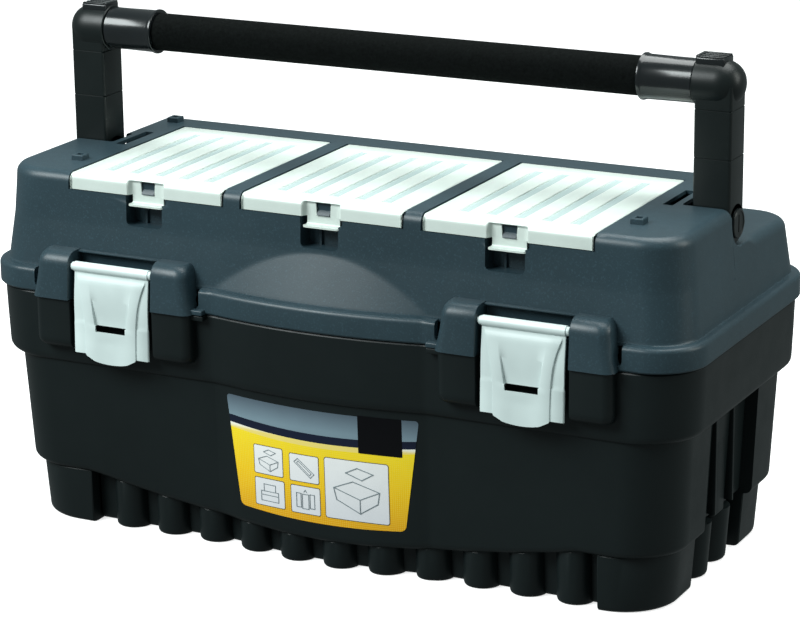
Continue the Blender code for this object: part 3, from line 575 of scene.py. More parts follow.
def build_tub(plastic):
    top = PARTING_Z - GAP
    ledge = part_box("tray")[0].z - GAP
    skirt = dict(skirt=SKIRT_DEPTH)
    sag = dict(sag=PANEL_SAG)
    hollow = dict(recess=END_RECESS)
    outside = [tub_level(0.2690, 0.1165, 0.0, **skirt)]
    outside += rounded_step(outside[-1], tub_level(0.2727, 0.1195, 0.0042, **skirt))
    outside += [tub_level(0.2757, 0.1205, 0.0435, **sag, **skirt)]
    outside += [tub_level(0.2762, 0.1197, 0.0445, **sag, **hollow)]
    outside += rounded_step(outside[-1], tub_level(*PANEL_FOOT, PANEL_FOOT_Z, **sag, **hollow), 5)
    for share in (0.25, 0.5, 0.75, 1.0):
        outside.append(tub_level(*[foot + lean * share for foot, lean in zip(PANEL_FOOT, PANEL_LEAN)],
                                 PANEL_FOOT_Z + (PANEL_TOP_Z - PANEL_FOOT_Z) * share,
                                 sag=PANEL_SAG * (1 - share) ** 2, **hollow))
    outside += [tub_level(0.2870, 0.1276, 0.1352, **hollow), tub_level(0.2874, 0.1277, 0.1364)]
    outside += rounded_step(outside[-1], tub_level(0.2959, 0.1313, 0.1440), 6)
    outside += [tub_level(0.2968, 0.1318, 0.1680), tub_level(0.2974, 0.1322, top - 0.0012)]
    outside += [tub_level(0.2966, 0.1314, top)]
    inside = [
        tub_level(0.2934, 0.1291, top),
        tub_level(0.2928, 0.1285, top - 0.0010),
        tub_level(0.2925, 0.1283, ledge + 0.001),
        tub_level(0.2918, 0.1276, ledge),
        tub_level(0.2840, 0.1245, ledge, **hollow),
        tub_level(0.2834, 0.1239, ledge - 0.0008, **hollow),
        tub_level(0.2797, 0.1203, 0.0545, **hollow, **sag),
        tub_level(0.2720, 0.1170, 0.0440, lobes=0.6, **sag, **skirt),
        tub_level(0.2690, 0.1160, 0.0060, lobes=0.6, **skirt),
        tub_level(0.2665, 0.1135, 0.0035, lobes=0.6, **skirt),
    ]
    for level in inside:
        level["radius"] = CORNER_RADIUS - WALL
    shape = grid([tub_ring(level) for level in outside + inside], caps=(True, True))
    return new_piece("tub", shape, plastic, "base", ["base_bin"], sharp=34)


def build_end_ribs(plastic):
    ribs = []
    for _, sign in SIDES:
        for y in (-0.018, 0.018):
            low, high = y - RIB_HALF, y + RIB_HALF
            ribs.append(box((sign * 0.2725, low, 0.0500), (sign * 0.2790, high, 0.1358), 0.0006, 2))
        ribs.append(box((sign * 0.2700, -0.0100, 0.0445), (sign * 0.2752, 0.0100, 0.1050), 0.002, 3))
    return new_piece("end_wall_ribs", merged(ribs), plastic, "base")


def boss(centre, side, z_range, y_range, outer, corner, top_round=0.0, low_round=0.0, flare=0.0):
    """Half of a latch boss, lofted upwards between two places in Z and Y. side is that of its outer edge.

    Its top rolls back by top_round at the front and by a share of that at the side.
    """
    low_z, high_z = z_range
    front_y, back_y = y_range
    levels = [(low_z, 0.0)]
    if low_round:
        levels = [(low_z + low_round * (1 - cosine(a)), low_round * (1 - sine(a))) for a in between(8, 90, 8)]
    levels += [(z, 0.0) for z in between(levels[-1][0] + 0.002, high_z - top_round - 0.001, 4)]
    if top_round:
        levels += [(high_z - top_round * (1 - sine(a)), top_round * (1 - cosine(a)))
                   for a in between(0, 84, 9)]
    else:
        levels.append((high_z, 0.0))
    rows = []
    for z, inset in levels:
        share = (high_z - z) / (high_z - low_z)
        far = outer + flare * share ** 2 - inset * 0.6
        front = front_y - 0.0030 * share * (flare > 0) + inset
        back = back_y if z > TRAY_ROOM_TOP_Z else min(back_y, TRAY_ROOM_FRONT_Y)
        row = [(BOSS_INNER, back), (BOSS_INNER, front + 0.0012)]
        row += [(BOSS_INNER + 0.0003, front + 0.0003), (BOSS_INNER + 0.0012, front)]
        row += arc((far - corner, front + corner), corner, -90, 0, 8)
        row += [(far, back)]
        rows.append([(centre + side * x, y, z) for x, y in row])
    return grid(rows, caps=(True, True))


def build_lower_bosses(plastic):
    shapes = []
    for _, sign in SIDES:
        centre = sign * LATCH.x
        for side in (-1, 1):
            shapes.append(boss(centre, side, (BOSS_BOTTOM_Z, PARTING_Z - SEAM), (-0.1432, -0.1285),
                               BOSS_OUTER + 0.0032, 0.0075, low_round=0.0085))
    return new_piece("lower_latch_bosses", merged(shapes), plastic, "base")


def build_base_trim(plastic):
    """Catch ledges behind the latches, flanges beside the bow, and the tub's half of the hinges."""
    shapes = []
    for _, sign in SIDES:
        centre = sign * LATCH.x
        shapes.append(box((centre - 0.011, -0.1358, 0.1570), (centre + 0.011, -0.1290, 0.1640), 0.001))
        near, far = [sign * x for x in BOW_FLANGE_X]
        shapes.append(box((near, -0.1378, PARTING_Z - 0.0045), (far, -0.1290, PARTING_Z - SEAM), 0.0008))
        low, high = sign * HINGE_X - 0.0118, sign * HINGE_X + 0.0118
        shapes.append(knuckle(low, high))
        shapes.append(box((low, 0.1290, 0.1800), (high, HINGE.y - 0.001, PARTING_Z - 0.0008), 0.0008))
        shapes.append(box((low + 0.003, 0.1290, 0.1600), (high - 0.003, 0.1345, 0.1850), 0.0015))
    return new_piece("base_trim", merged(shapes), plastic, "base")


def knuckle(low, high):
    """A drilled hinge knuckle between two places along the hinge."""
    radius, hole, edge = 0.0050, 0.0023, 0.0006
    profile = [(low, hole), (low, radius - edge), (low + edge, radius)]
    profile += [(high - edge, radius), (high, radius - edge), (high, hole)]
    return turned(profile, (0, HINGE.y, HINGE.z), 28, pierced=True)


# Lid

# Height, half width and half depth down the lid's sloping wall
WALL_STOPS = ((0.2128, 0.2930, 0.1262), (0.2486, 0.2890, 0.1214), (0.2740, 0.2868, 0.1204),
              (0.2880, 0.2860, 0.1200))


def wall_half(z):
    for (low, x0, y0), (high, x1, y1) in zip(WALL_STOPS, WALL_STOPS[1:]):
        if z <= high:
            share = max(0.0, (z - low) / (high - low))
            return x0 + (x1 - x0) * share, y0 + (y1 - y0) * share
    return WALL_STOPS[-1][1:]


def ledge_height(y):
    """Top of the ledge behind the deck: it follows the arm's round foot, then falls gently backwards."""
    if y < 0:
        return PIVOT_Z - math.sqrt(max(0.0, NOTCH_RADIUS ** 2 - y * y))
    return PIVOT_Z - NOTCH_RADIUS + 0.0004 - LEDGE_SLOPE * y


def end_places():
    notch = [-NOTCH_RADIUS * cosine(a) for a in between(0, 90, 12)]
    front = between(-END_REACH, -NOTCH_RADIUS - 0.0001, 12)
    return [(y, 0) for y in front] + [(y, 1) for y in notch + between(0.003, END_REACH, 18)]


def lid_stations():
    step = BOW_HALF / 30
    front = between(-0.250, -BOW_HALF - 0.0004, 9) + [step * i for i in range(-30, 31)]
    front += between(BOW_HALF + 0.0004, 0.250, 9)
    back = between(-0.250, 0.250, 11)
    stations = []
    sides = (("front", [(x, 0) for x in front]), ("right", end_places()), ("back", [(x, 1) for x in back]),
             ("left", [(-y, rear) for y, rear in reversed(end_places())]))
    for turn, (side, places) in enumerate(sides):
        stations += [(side, place, rear) for place, rear in places]
        for corner_step in range(1, 16):
            angle = math.radians(-90 + 90 * turn + 90 * corner_step / 16)
            stations.append((f"corner{turn}", angle, turn in (1, 2)))
    return stations


def outline_point(side, place, half_x, half_y, radius, z):
    """A station's point on a rounded rectangle. On the ends, places past the notch run up to the corners."""
    if side.startswith("corner"):
        return corner_point(int(side[-1]), place, half_x, half_y, radius, z, radius)
    if side == "front":
        return (place, -half_y - bow_at(place, z), z)
    if side == "back":
        return (-place * (half_x - radius) / 0.260, half_y, z)
    sign = 1 if side == "right" else -1
    y = sign * place
    beyond = abs(y) - NOTCH_RADIUS
    if beyond > 0:
        stretch = (half_y - radius - NOTCH_RADIUS) / (END_REACH - NOTCH_RADIUS)
        y = math.copysign(NOTCH_RADIUS + beyond * stretch, y)
    return (sign * half_x, y, z)


def lid_column(side, place, rear):
    """One column of the lid's outer face, from the parting line over the rim to the deck."""
    column = []

    def add(half_x, half_y, radius, z):
        column.append(outline_point(side, place, half_x, half_y, radius, z))

    def add_wall(heights):
        for z in heights:
            add(*wall_half(z), WALL_RADIUS, z)

    def add_round(half_x, half_y, radius, edge, top_z, angles):
        for degrees in angles:
            inset = edge * (1 - cosine(degrees))
            add(half_x - inset, half_y - inset, radius - inset, top_z - edge * (1 - sine(degrees)))

    for half_x, half_y, z in ((0.2975, 0.1315, PARTING_Z + SEAM / 2), (0.2992, 0.1332, PARTING_Z + 0.0008),
                              (RIM_X, RIM_Y, PARTING_Z + 0.0020), (RIM_X, RIM_Y, RIM_TOP_Z)):
        add(half_x, half_y, RIM_RADIUS, z)
    add_round(RIM_X, RIM_Y, RIM_RADIUS, RIM_ROUND, RIM_TOP_Z + RIM_ROUND, (22, 45, 67, 90))
    add(0.2940, 0.1272, 0.035, 0.2116)
    add(0.2932, 0.1264, WALL_RADIUS, 0.2122)
    y_here = outline_point(side, place, RIM_X, RIM_Y, RIM_RADIUS, 0)[1]
    top, edge, foot = DECK_Z, DECK_ROUND, BULGE_FOOT_Z + BULGE_RISE
    if rear:
        front_corner = side.startswith("corner") and y_here <= 0
        top = LEDGE_Z if front_corner else ledge_height(max(y_here, -NOTCH_RADIUS))
        edge = 0.0012 + 0.0073 * blend_step(y_here, 0.012, 0.034)
        foot = top - edge
    add_wall(between(BULGE_FOOT_Z + 0.0002, foot, 25))
    if not rear:
        add_wall(between(foot, DECK_Z - edge, 6)[1:])
    half_x, half_y = wall_half(top - edge)
    add_round(half_x, half_y, WALL_RADIUS, edge, top, between(0, 90, 10)[1:])
    if not rear:
        for inset in (0.0010, 0.0020, 0.0030, 0.0040):
            add(half_x - edge - inset, half_y - edge - inset, WALL_RADIUS - edge - inset, top)
        return column
    step = (DECK_INNER_X, DECK_BACK_Y)
    add(*[half + 0.0008 for half in step], 0.004, top)
    for z in between(top + 0.0008, DECK_Z - DECK_STEP_ROUND, 3):
        add(*step, 0.004, z)
    add_round(*step, 0.004, DECK_STEP_ROUND, DECK_Z, between(0, 90, 6)[1:])
    return column


def lid_skin():
    return grid(list(zip(*[lid_column(*station) for station in lid_stations()])), caps=(True, True))


def rounded_ring(half_x, half_y, radius, z, steps=8):
    points = []
    for corner in range(4):
        for step in range(steps + 1):
            angle = math.radians(-90 + 90 * corner + 90 * step / steps)
            points.append(corner_point(corner, angle, half_x, half_y, radius, z, radius))
    return points


def lid_hollow():
    levels = ((0.2945, 0.1280, PARTING_Z - 0.01), (0.2945, 0.1280, 0.2090), (0.2890, 0.1222, 0.2122),
              (0.2830, 0.1165, LEDGE_Z - 0.0065))
    return grid([rounded_ring(x, y, 0.036, z) for x, y, z in levels], caps=(True, True))


def build_lid(plastic):
    lid = new_piece("lid", lid_skin(), plastic, "lid", ["lid_shell"])
    cut(lid, lid_hollow())
    cut(lid, box((-0.2505, -0.1155, LEDGE_Z - 0.0080), (0.2505, DECK_BACK_Y - WALL, DECK_Z - WALL)))

    def each(left, right, y, z, *rounding):
        """The same box at every organizer: its reach to the left and right, and its places in Y and Z."""
        centres = [index * ORGANIZER_PITCH for _, index in ORGANIZERS]
        return merged([box((x - left, y[0], z[0]), (x + right, y[1], z[1]), *rounding) for x in centres])

    join(lid, each(0.0695, 0.0695, (-0.1180, 0.0565), (WELL_FLOOR_Z - WALL, DECK_Z - 0.0015)))
    cut(lid, each(0.0665, 0.0665, (-0.1140, 0.0535), (WELL_FLOOR_Z, ABOVE), 0.004, 4))
    join(lid, each(0.0205, 0.0205, (-0.1162, -0.1035), (WELL_FLOOR_Z - 0.0015, 0.2855)))
    left, right = [COVER_HALF_X + play for play in SLOT_PLAY]
    cut(lid, each(left, right, (BEFORE, COVER_BACK_Y + 0.0009), (DECK_Z - 0.0035, ABOVE)))
    cut(lid, each(left, right, (BEFORE, -0.1172), (FLANGE_BOTTOM_Z - 0.0006, 0.31)))
    cut(lid, each(0.0178, 0.0178, (BEFORE, -0.1142), (0.2700, 0.31)))
    cut(lid, each(FINGER_HALF - FINGER_X, FINGER_HALF + FINGER_X, (BEFORE, -0.1065), (0.2515, 0.2790),
                  0.0040, 4, "y"))
    cut_latch_pockets(lid)
    low, high = DECK_Z - 0.02, DECK_Z + 0.02
    slots = []
    for _, sign in SIDES:
        slots.append(box((sign * 0.2335, -0.0210, low), (sign * 0.2415, 0.0260, high), 0.001, 2, "z"))
        slots.append(box((sign * 0.2468, -0.0163, 0.2690), (sign * 0.2550, 0.0150, high), 0.003, 3, "z"))
        slots.append(turned([(sign * 0.2440, 0.0043), (sign * 0.2600, 0.0043)], (0, 0, PIVOT_Z), steps=24))
    cut(lid, merged(slots))
    soften(lid, 0.0006)
    return bake(lid, 40)


def cut_latch_pockets(lid):
    """The rim stops short of each boss, and the wall is set back behind each latch."""
    behind = []
    beside = []
    recessed = []
    for _, sign in SIDES:
        centre = sign * LATCH.x
        reach = BOSS_INNER + 0.001
        behind.append(box((centre - reach, -0.2, 0.15), (centre + reach, -0.1300, BULGE_FOOT_Z + 0.004)))
        for side in (-1, 1):
            beside.append(box((centre + side * (BOSS_OUTER - 0.004), -0.2, 0.1960),
                              (centre + side * 0.0745, -0.1268, 0.2325), 0.0045, 4, "y"))
        recessed.append(box((centre - BOSS_INNER - 0.0006, -0.2, 0.2100),
                            (centre + BOSS_INNER + 0.0006, -0.1216, BOSS_TOP_Z - 0.0020)))
    cut(lid, merged(behind))
    cut(lid, merged(beside))
    cut(lid, merged(recessed))


def build_upper_bosses(plastic):
    shapes = []
    for _, sign in SIDES:
        centre = sign * LATCH.x
        for side in (-1, 1):
            shapes.append(boss(centre, side, (PARTING_Z + SEAM / 2, BOSS_TOP_Z), (-0.1422, -0.1210),
                               BOSS_OUTER, 0.0085, top_round=0.0095, flare=0.0050))
        shapes.append(box((centre - BOSS_INNER - 0.004, -0.1272, BOSS_TOP_Z - 0.0022),
                          (centre + BOSS_INNER + 0.004, -0.1210, BOSS_TOP_Z - 0.0006), 0.0006, 2))
    return new_piece("upper_latch_bosses", merged(shapes), plastic, "lid")


def build_lid_trim(plastic):
    """Ribs in the wells, catches, lugs, flanges beside the bow and the lid's half of the hinges."""
    shapes = []
    for _, index in ORGANIZERS:
        x = index * ORGANIZER_PITCH
        for rib_x in (x - 0.0305, x + 0.0305):
            low, high = rib_x - 0.0008, rib_x + 0.0008
            shapes.append(box((low, -0.1150, WELL_FLOOR_Z - 0.001), (high, 0.0545, 0.2790), 0.0003, 1))
        shapes.append(catch(x))
        shapes.append(box((x - 0.0080, -0.1088, 0.2510), (x - 0.0056, -0.1060, 0.2785), 0.0004, 1))
    for _, sign in SIDES:
        for y in (-0.078, 0.0684):
            shapes.append(lug(sign * 0.2385, y))
        near, far = [sign * x for x in BOW_FLANGE_X]
        shapes.append(box((near, -0.1390, PARTING_Z + SEAM / 2), (far, -0.1290, 0.1962), 0.0009))
        for side in (-1, 1):
            low = sign * HINGE_X + side * 0.0130
            high = sign * HINGE_X + side * 0.0300
            shapes.append(knuckle(min(low, high), max(low, high)))
            shapes.append(box((low, 0.1290, PARTING_Z + 0.0008), (high, HINGE.y - 0.001, 0.1990), 0.0008))
    return new_piece("lid_trim", merged(shapes), plastic, "lid")


def catch(x):
    """The wedge that the cover's window snaps over: an upright face above a ledge that slopes outwards."""
    outline = [(-0.1172, 0.2765), (-0.1169, 0.2774), (-0.1141, 0.2803), (-0.1141, 0.2862), (-0.1100, 0.2862)]
    outline += [(-0.1100, 0.2765)]
    rows = [[(place, y, z) for y, z in outline] for place in (x - 0.0053, x + 0.0053)]
    return grid(rows, caps=(True, True))


def lug(x, y):
    """A square stacking lug with a square hole."""
    outer, inner, low, high, edge = 0.005, 0.0024, DECK_Z - 0.001, DECK_Z + 0.0042, 0.0006
    levels = ((outer, low), (outer, high - edge), (outer - edge, high), (inner, high), (inner, low + 0.002))
    rows = [[(x + sx * half, y + sy * half, z) for sx, sy in CORNER_SIGNS] for half, z in levels]
    return grid(rows, caps=(True, True))


# Organizer covers

GROOVE_COUNT = 5
GROOVE_PITCH = 0.0223
GROOVE_HALF = 0.0043
GROOVE_Y = (-0.1005, 0.0385)
GROOVE_DEPTH = 0.0008
FRONT_RADIUS = 0.0046
TAB_HALF = 0.0168
NECK_HALF = 0.0138
LIP_HALF = 0.0154
TAB_SET_BACK = 0.0042
WINDOW_HALF = 0.0065
WINDOW_FOOT_HALF = 0.0056
WINDOW_Z = (0.2758, 0.2868)
CURL_RADIUS = 0.0020
LIP_Z = 0.2688


def cover_profile():
    """(y, z, half width) down the middle of the cover: plate, front edge, set-back tab and its curled lip.

    The half width is that of the tab, and None where the cover has its full width.
    """
    flat = [COVER_BACK_Y - 0.0006, GROOVE_Y[1] + 0.0006, GROOVE_Y[1], GROOVE_Y[1] - 0.0006]
    flat += between(GROOVE_Y[1] - 0.03, GROOVE_Y[0] + 0.03, 4)
    flat += [GROOVE_Y[0] + 0.0006, GROOVE_Y[0], GROOVE_Y[0] - 0.0006]
    points = [(COVER_BACK_Y, DECK_Z - 0.0006, None)] + [(y, DECK_Z, None) for y in flat]
    for y, z in arc((COVER_FRONT_Y + FRONT_RADIUS, DECK_Z - FRONT_RADIUS), FRONT_RADIUS, 90, 180, 10):
        points.append((y, z, None))
    for z in (0.2815, 0.2795, 0.2775, WINDOW_Z[0] + 0.0002, FLANGE_BOTTOM_Z):
        points.append((COVER_FRONT_Y, z, None))
    plane = COVER_FRONT_Y + TAB_SET_BACK
    for z in between(FLANGE_BOTTOM_Z - 0.0010, LIP_Z + CURL_RADIUS, 4):
        points.append((plane, z, NECK_HALF))
    for y, z in arc((plane - CURL_RADIUS, LIP_Z + CURL_RADIUS), CURL_RADIUS, 0, -90, 6)[1:]:
        points.append((y, z, NECK_HALF + (LIP_HALF - NECK_HALF) * (plane - y) / CURL_RADIUS))
    for reach, half in ((0.0034, LIP_HALF), (0.0044, LIP_HALF - 0.0003), (0.0051, LIP_HALF - 0.0010),
                        (0.0056, LIP_HALF - 0.0024)):
        points.append((plane - reach, LIP_Z + 0.0001, half))
    return points


def cover_columns():
    half = COVER_HALF_X
    places = [-half, -half + 0.0003, -half + 0.0008]
    for index in range(GROOVE_COUNT):
        centre = (index - (GROOVE_COUNT - 1) / 2) * GROOVE_PITCH
        for edge in (-GROOVE_HALF, GROOVE_HALF):
            places += [centre + edge - 0.0005, centre + edge, centre + edge + 0.0005]
    for side in (-1, 1):
        steps = (0, 0.2, 0.45, 0.7, 0.9, 1)
        places += [side * (NECK_HALF + (TAB_HALF - NECK_HALF) * share) for share in steps]
        places += [side * WINDOW_HALF, side * 0.0105, side * (TAB_HALF + 0.0006)]
    places += [half - 0.0008, half - 0.0003, half]
    return sorted(places)


def groove_depth(x, y):
    """How deep the top face lies at a point, from 0 to the grooves' depth."""
    if not GROOVE_Y[0] + 0.0003 < y < GROOVE_Y[1] - 0.0003:
        return 0.0
    nearest = min(abs(x - (index - (GROOVE_COUNT - 1) / 2) * GROOVE_PITCH) for index in range(GROOVE_COUNT))
    return GROOVE_DEPTH if nearest < GROOVE_HALF - 0.0003 else 0.0


def in_window(z):
    return WINDOW_Z[0] - 0.0001 < z < WINDOW_Z[1] + 0.0001


def cover_point(x, y, z, tab_half):
    """A point of the cover about its own centre line, for a place across it and a point of its profile."""
    if tab_half is not None:
        return x * tab_half / NECK_HALF, y, z
    edge = 0.0008
    side_drop = edge * max(0.0, 1 - (COVER_HALF_X - abs(x)) / edge) ** 2
    front_share = blend_step(-y, -COVER_FRONT_Y - 0.0025, -COVER_FRONT_Y)
    back = 0.0
    if y < GROOVE_Y[0] - 0.001:
        inside = 1 - blend_step(abs(x), NECK_HALF, TAB_HALF)
        back = TAB_SET_BACK * inside * blend_step(DECK_Z - z, 0.0002, 0.0030)
    if in_window(z) and back:
        low, high = WINDOW_Z
        half = WINDOW_FOOT_HALF + (WINDOW_HALF - WINDOW_FOOT_HALF) * (z - low) / (high - low)
        if abs(x) <= WINDOW_HALF:
            x *= half / WINDOW_HALF
        elif abs(x) < NECK_HALF:
            share = (abs(x) - WINDOW_HALF) / (NECK_HALF - WINDOW_HALF)
            x = math.copysign(half + (NECK_HALF - half) * share, x)
    x -= math.copysign(side_drop * front_share, x)
    return x, y + back, z - groove_depth(x, y) - side_drop * (1 - front_share)


def cover_shape(centre):
    """Plate, flange and tab in one surface, with the window left out."""
    profile = cover_profile()
    columns = cover_columns()

    def keep(row, column):
        middle = abs(columns[column] + columns[column + 1]) / 2
        if profile[row + 1][2] is not None:
            return middle < NECK_HALF
        inside = in_window(profile[row][1]) and in_window(profile[row + 1][1])
        return not (inside and middle < WINDOW_HALF)

    rows = []
    for y, z, tab_half in profile:
        points = [cover_point(x, y, z, tab_half) for x in columns]
        rows.append([(centre + x, place, height) for x, place, height in points])
    return grid(rows, closed=False, keep=keep)


def build_cover(name, index, milky, thin):
    centre = index * ORGANIZER_PITCH
    cover = new_piece(f"cover_{name}", cover_shape(centre), milky, f"organizer_{name}",
                      [f"organizer_lid_{name}"], outward=(0, -1, 1))
    cover.data.materials.append(thin)
    for face in cover.data.polygons:
        middle = face.center
        if middle.z < DECK_Z - GROOVE_DEPTH * 0.9 and groove_depth(middle.x - centre, middle.y):
            face.material_index = 1
    thicken(cover, COVER_PLATE - GROOVE_DEPTH)
    return bake(cover, 50)


# Latches

LATCH_HALF = 0.0335
LATCH_PLATE = 0.0015
SLOT_Z = (0.1695, 0.1745)
SLOT_HALF = 0.0138


def latch_front(z):
    """The plate's front face at a height: it leaves the rod forwards, then drops almost straight."""
    bulge = 0.0022 * math.sin(math.pi * blend_step(0.2195 - z, -0.004, 0.060) ** 0.8)
    lean = 0.0040 * blend_step(0.2100 - z, 0.0, 0.058)
    return -0.1388 - bulge - lean


def tongue_half(z):
    """Half width of the raised tongue: wide under the rod, narrowing in a curve."""
    share = max(0.0, min(1.0, (0.2120 - z) / 0.060))
    return 0.0226 + 0.0080 * (1 - share) ** 3.2


def panel_half(z):
    """Half width of the sunk middle panel, whose edges run together towards the slot."""
    share = max(0.0, min(1.0, (0.2085 - z) / (0.2085 - SLOT_Z[1])))
    return 0.0188 - (0.0188 - SLOT_HALF) * share


def latch_shape(centre):
    """The latch's front as rows from the rod to the lip, whose columns follow the tongue and the panel."""
    heights = between(0.2190, 0.2085, 7) + between(0.2060, SLOT_Z[1], 16) + [SLOT_Z[1] - 0.0002]
    heights += [SLOT_Z[0] + 0.0002, SLOT_Z[0]] + between(SLOT_Z[0] - 0.0015, 0.1508, 10)
    rows = []
    for z in heights:
        tongue = tongue_half(z)
        panel = panel_half(z) if z > SLOT_Z[0] - 0.0001 else SLOT_HALF
        sink = 0.0026 * blend_step(0.2085 - z, 0.0, 0.034) if z > SLOT_Z[1] - 0.0001 else 0.0
        scoop = 0.0006 * blend_step(SLOT_Z[0] - z, 0.0, 0.010)
        raised = 0.0017 * blend_step(0.2145 - z, 0.0, 0.006)
        lower = blend_step(0.1508 + 0.0075 - z, 0.0, 0.0075)
        wing_step = 0.0006 if z < 0.1765 else 0.0
        row = []
        for side in (-1, 1):
            wing = [(LATCH_HALF + wing_step * 0.5, 0.0009), (LATCH_HALF - 0.0003 + wing_step * 0.5, 0.0002),
                    (LATCH_HALF - 0.0009, -wing_step)]
            wing += [(tongue + 0.0006, -wing_step), (tongue + 0.0003, -raised * 0.35)]
            edge = [(tongue, -raised * 0.85), (tongue - 0.0006, -raised)]
            body = [(panel + 0.0012, -raised), (panel + 0.0003, -raised + 0.1 * sink)]
            body += [(panel - 0.0004, sink - raised)]
            middle = [(panel * 0.66, sink - raised + scoop * 0.6), (panel * 0.33, sink - raised + scoop)]
            half_row = wing + edge + body + middle
            if side == 1:
                half_row = [(0.0, sink - raised + scoop)] + half_row[::-1]
            row += [(side * x, latch_front(z) + dy) for x, dy in half_row]
        points = []
        for x, y in row:
            drop = lower * 0.0068 * max(0.0, 1 - (x / 0.0226) ** 2) ** 0.6
            points.append((centre + x, y, z - drop))
        rows.append(points)
    return grid(rows, closed=False)


def build_latch(name, sign, grey):
    centre = sign * LATCH.x
    body = f"latch_{name}"
    shape = latch_shape(centre)
    hole = [face for face in shape.faces
            if SLOT_Z[0] < face.calc_center_median().z < SLOT_Z[1]
            and abs(face.calc_center_median().x - centre) < SLOT_HALF - 0.0002]
    bmesh.ops.delete(shape, geom=hole, context="FACES")
    plate = new_piece(f"latch_plate_{name}", shape, grey, body, [f"latch_{name}"],
                      outward=(0, -1, 0))
    thicken(plate, LATCH_PLATE)
    bake(plate, 45)
    for face in plate.data.polygons:
        face.use_smooth = True
    half, radius = 0.0361, 0.0041
    end_radius = radius - 0.0007
    rod = [(-half - 0.0022, 0.0019), (-half, 0.0019), (-half, radius - 0.0016)]
    rod += [(-half + 0.0003, radius - 0.0009), (-half + 0.0008, end_radius)]
    rod += [(-LATCH_HALF - 0.0002, end_radius), (-LATCH_HALF + 0.0002, radius)]
    rod += [(-along, reach) for along, reach in reversed(rod)]
    shape = turned(rod, (centre, LATCH.y, LATCH.z), 32)
    new_piece(f"latch_rod_{name}", shape, grey, body)


# Handle

def build_arm(name, sign, plastic):
    low, high = ARM_X
    seams = (0.3240, 0.3605)
    edge = 0.0005
    heights = [PIVOT_Z - 0.0003]
    for seam in seams:
        heights += [seam - edge, seam, seam + edge]
    rows = []
    for z in heights + [TUBE_Z]:
        inset = edge if z in seams else 0.0
        ring = rounded_ring((high - low) / 2 - inset, ARM_HALF_Y - inset, 0.0022, z, 4)
        rows.append([(sign * ((low + high) / 2 + x), y, z) for x, y, z in ring])
    shank = grid(rows, caps=(True, True))
    foot_edge, foot_radius = 0.0009, 0.0155
    foot = [(low, foot_radius - foot_edge), (low + foot_edge, foot_radius), (high - foot_edge, foot_radius),
            (high, foot_radius - foot_edge)]
    start, round_from, end = 0.2525, 0.2695, 0.2882
    head = [(start, 0.0128), (start, HEAD_RADIUS - 0.0006), (start + 0.0006, HEAD_RADIUS),
            (round_from, HEAD_RADIUS)]
    head += [(round_from + (end - round_from) * sine(a), HEAD_RADIUS * cosine(a) ** 0.8)
             for a in (8, 16, 24, 32, 40, 48, 56, 64, 72, 79, 85, 88.5)]
    foot_shape = turned([(sign * along, reach) for along, reach in foot], (0, 0, PIVOT_Z))
    head_shape = turned([(sign * along, reach) for along, reach in head], (0, 0, TUBE_Z), steps=56)
    shape = merged([shank, foot_shape, head_shape])
    return new_piece(f"arm_{name}", shape, plastic, "handle", [f"handle_arm_{name}"])


def build_clip(name, sign, gloss):
    """The ribbed snap clip: a saddle on the head, four ribs along the tube and a thin raised edge."""
    top = TUBE_Z + HEAD_RADIUS + 0.0018
    rib_top = top + 0.0010
    shapes = [box((sign * 0.2532, -0.0100, TUBE_Z + 0.013), (sign * 0.2755, 0.0100, top), 0.0012, 3)]
    for rib in range(4):
        y = -0.0081 + rib * 0.0054
        low, high = (sign * 0.2556, y - 0.0013, top - 0.001), (sign * 0.2750, y + 0.0013, rib_top)
        shapes.append(box(low, high, 0.0006, 2))
    low_z, high_z = top - 0.0012, top + 0.0012
    shapes.append(box((sign * 0.2528, -0.0085, low_z), (sign * 0.2560, 0.0085, high_z), 0.0006, 2))
    return new_piece(f"clip_{name}", merged(shapes), gloss, "handle", [f"handle_clip_{name}"])


def build_ferrule(name, sign, gloss):
    near = GRIP_HALF + GAP
    far = 0.2522
    profile = [(near, 0.0151), (near, 0.0172), (near + 0.0004, 0.0177), (near + 0.0016, 0.0178),
               (near + 0.0030, 0.0173), (near + 0.0042, 0.0169), (0.2370, 0.0166), (far - 0.0006, 0.0166),
               (far, 0.0160), (far, 0.0130)]
    shape = turned([(sign * along, radius) for along, radius in profile], (0, 0, TUBE_Z), steps=64)
    return new_piece(f"ferrule_{name}", shape, gloss, "handle", [f"handle_ferrule_{name}"])


def build_grip(sleeve):
    edge = 0.0012
    profile = [(-GRIP_HALF, 0.0126), (-GRIP_HALF, GRIP_RADIUS - edge)]
    for angle in (30, 60, 90):
        profile.append((-GRIP_HALF + edge * (1 - cosine(angle)), GRIP_RADIUS - edge * (1 - sine(angle))))
    profile += [(x, GRIP_RADIUS) for x in between(-GRIP_HALF + 0.006, -0.005, 30)]
    profile += [(-along, radius) for along, radius in reversed(profile)]
    shape = turned(profile, (0, 0, TUBE_Z), steps=64)
    return new_piece("grip", shape, sleeve, "handle", ["handle_grip"])


def build_pivot_pin(name, sign, plastic):
    """A slotted disc with a turned rim, on a shank that ends inside the lid."""
    face = ARM_X[1] + 0.0026
    base = ARM_X[1] + GAP
    profile = [(0.2465, 0.0040), (base, 0.0040), (base, 0.0112), (face - 0.0006, 0.0112), (face, 0.0106),
               (face, 0.0094), (face - 0.0005, 0.0090), (face - 0.0005, 0.0030)]
    shape = turned([(sign * along, radius) for along, radius in profile], (0, 0, PIVOT_Z))
    pin = new_piece(f"pivot_pin_{name}", shape, plastic, "lid", [f"handle_pin_{name}"])
    inner, outer = sign * (face - 0.0016), sign * (face + 0.01)
    cut(pin, box((inner, -0.0009, PIVOT_Z - 0.0068), (outer, 0.0009, PIVOT_Z + 0.0068)))
    return bake(pin)


# Label

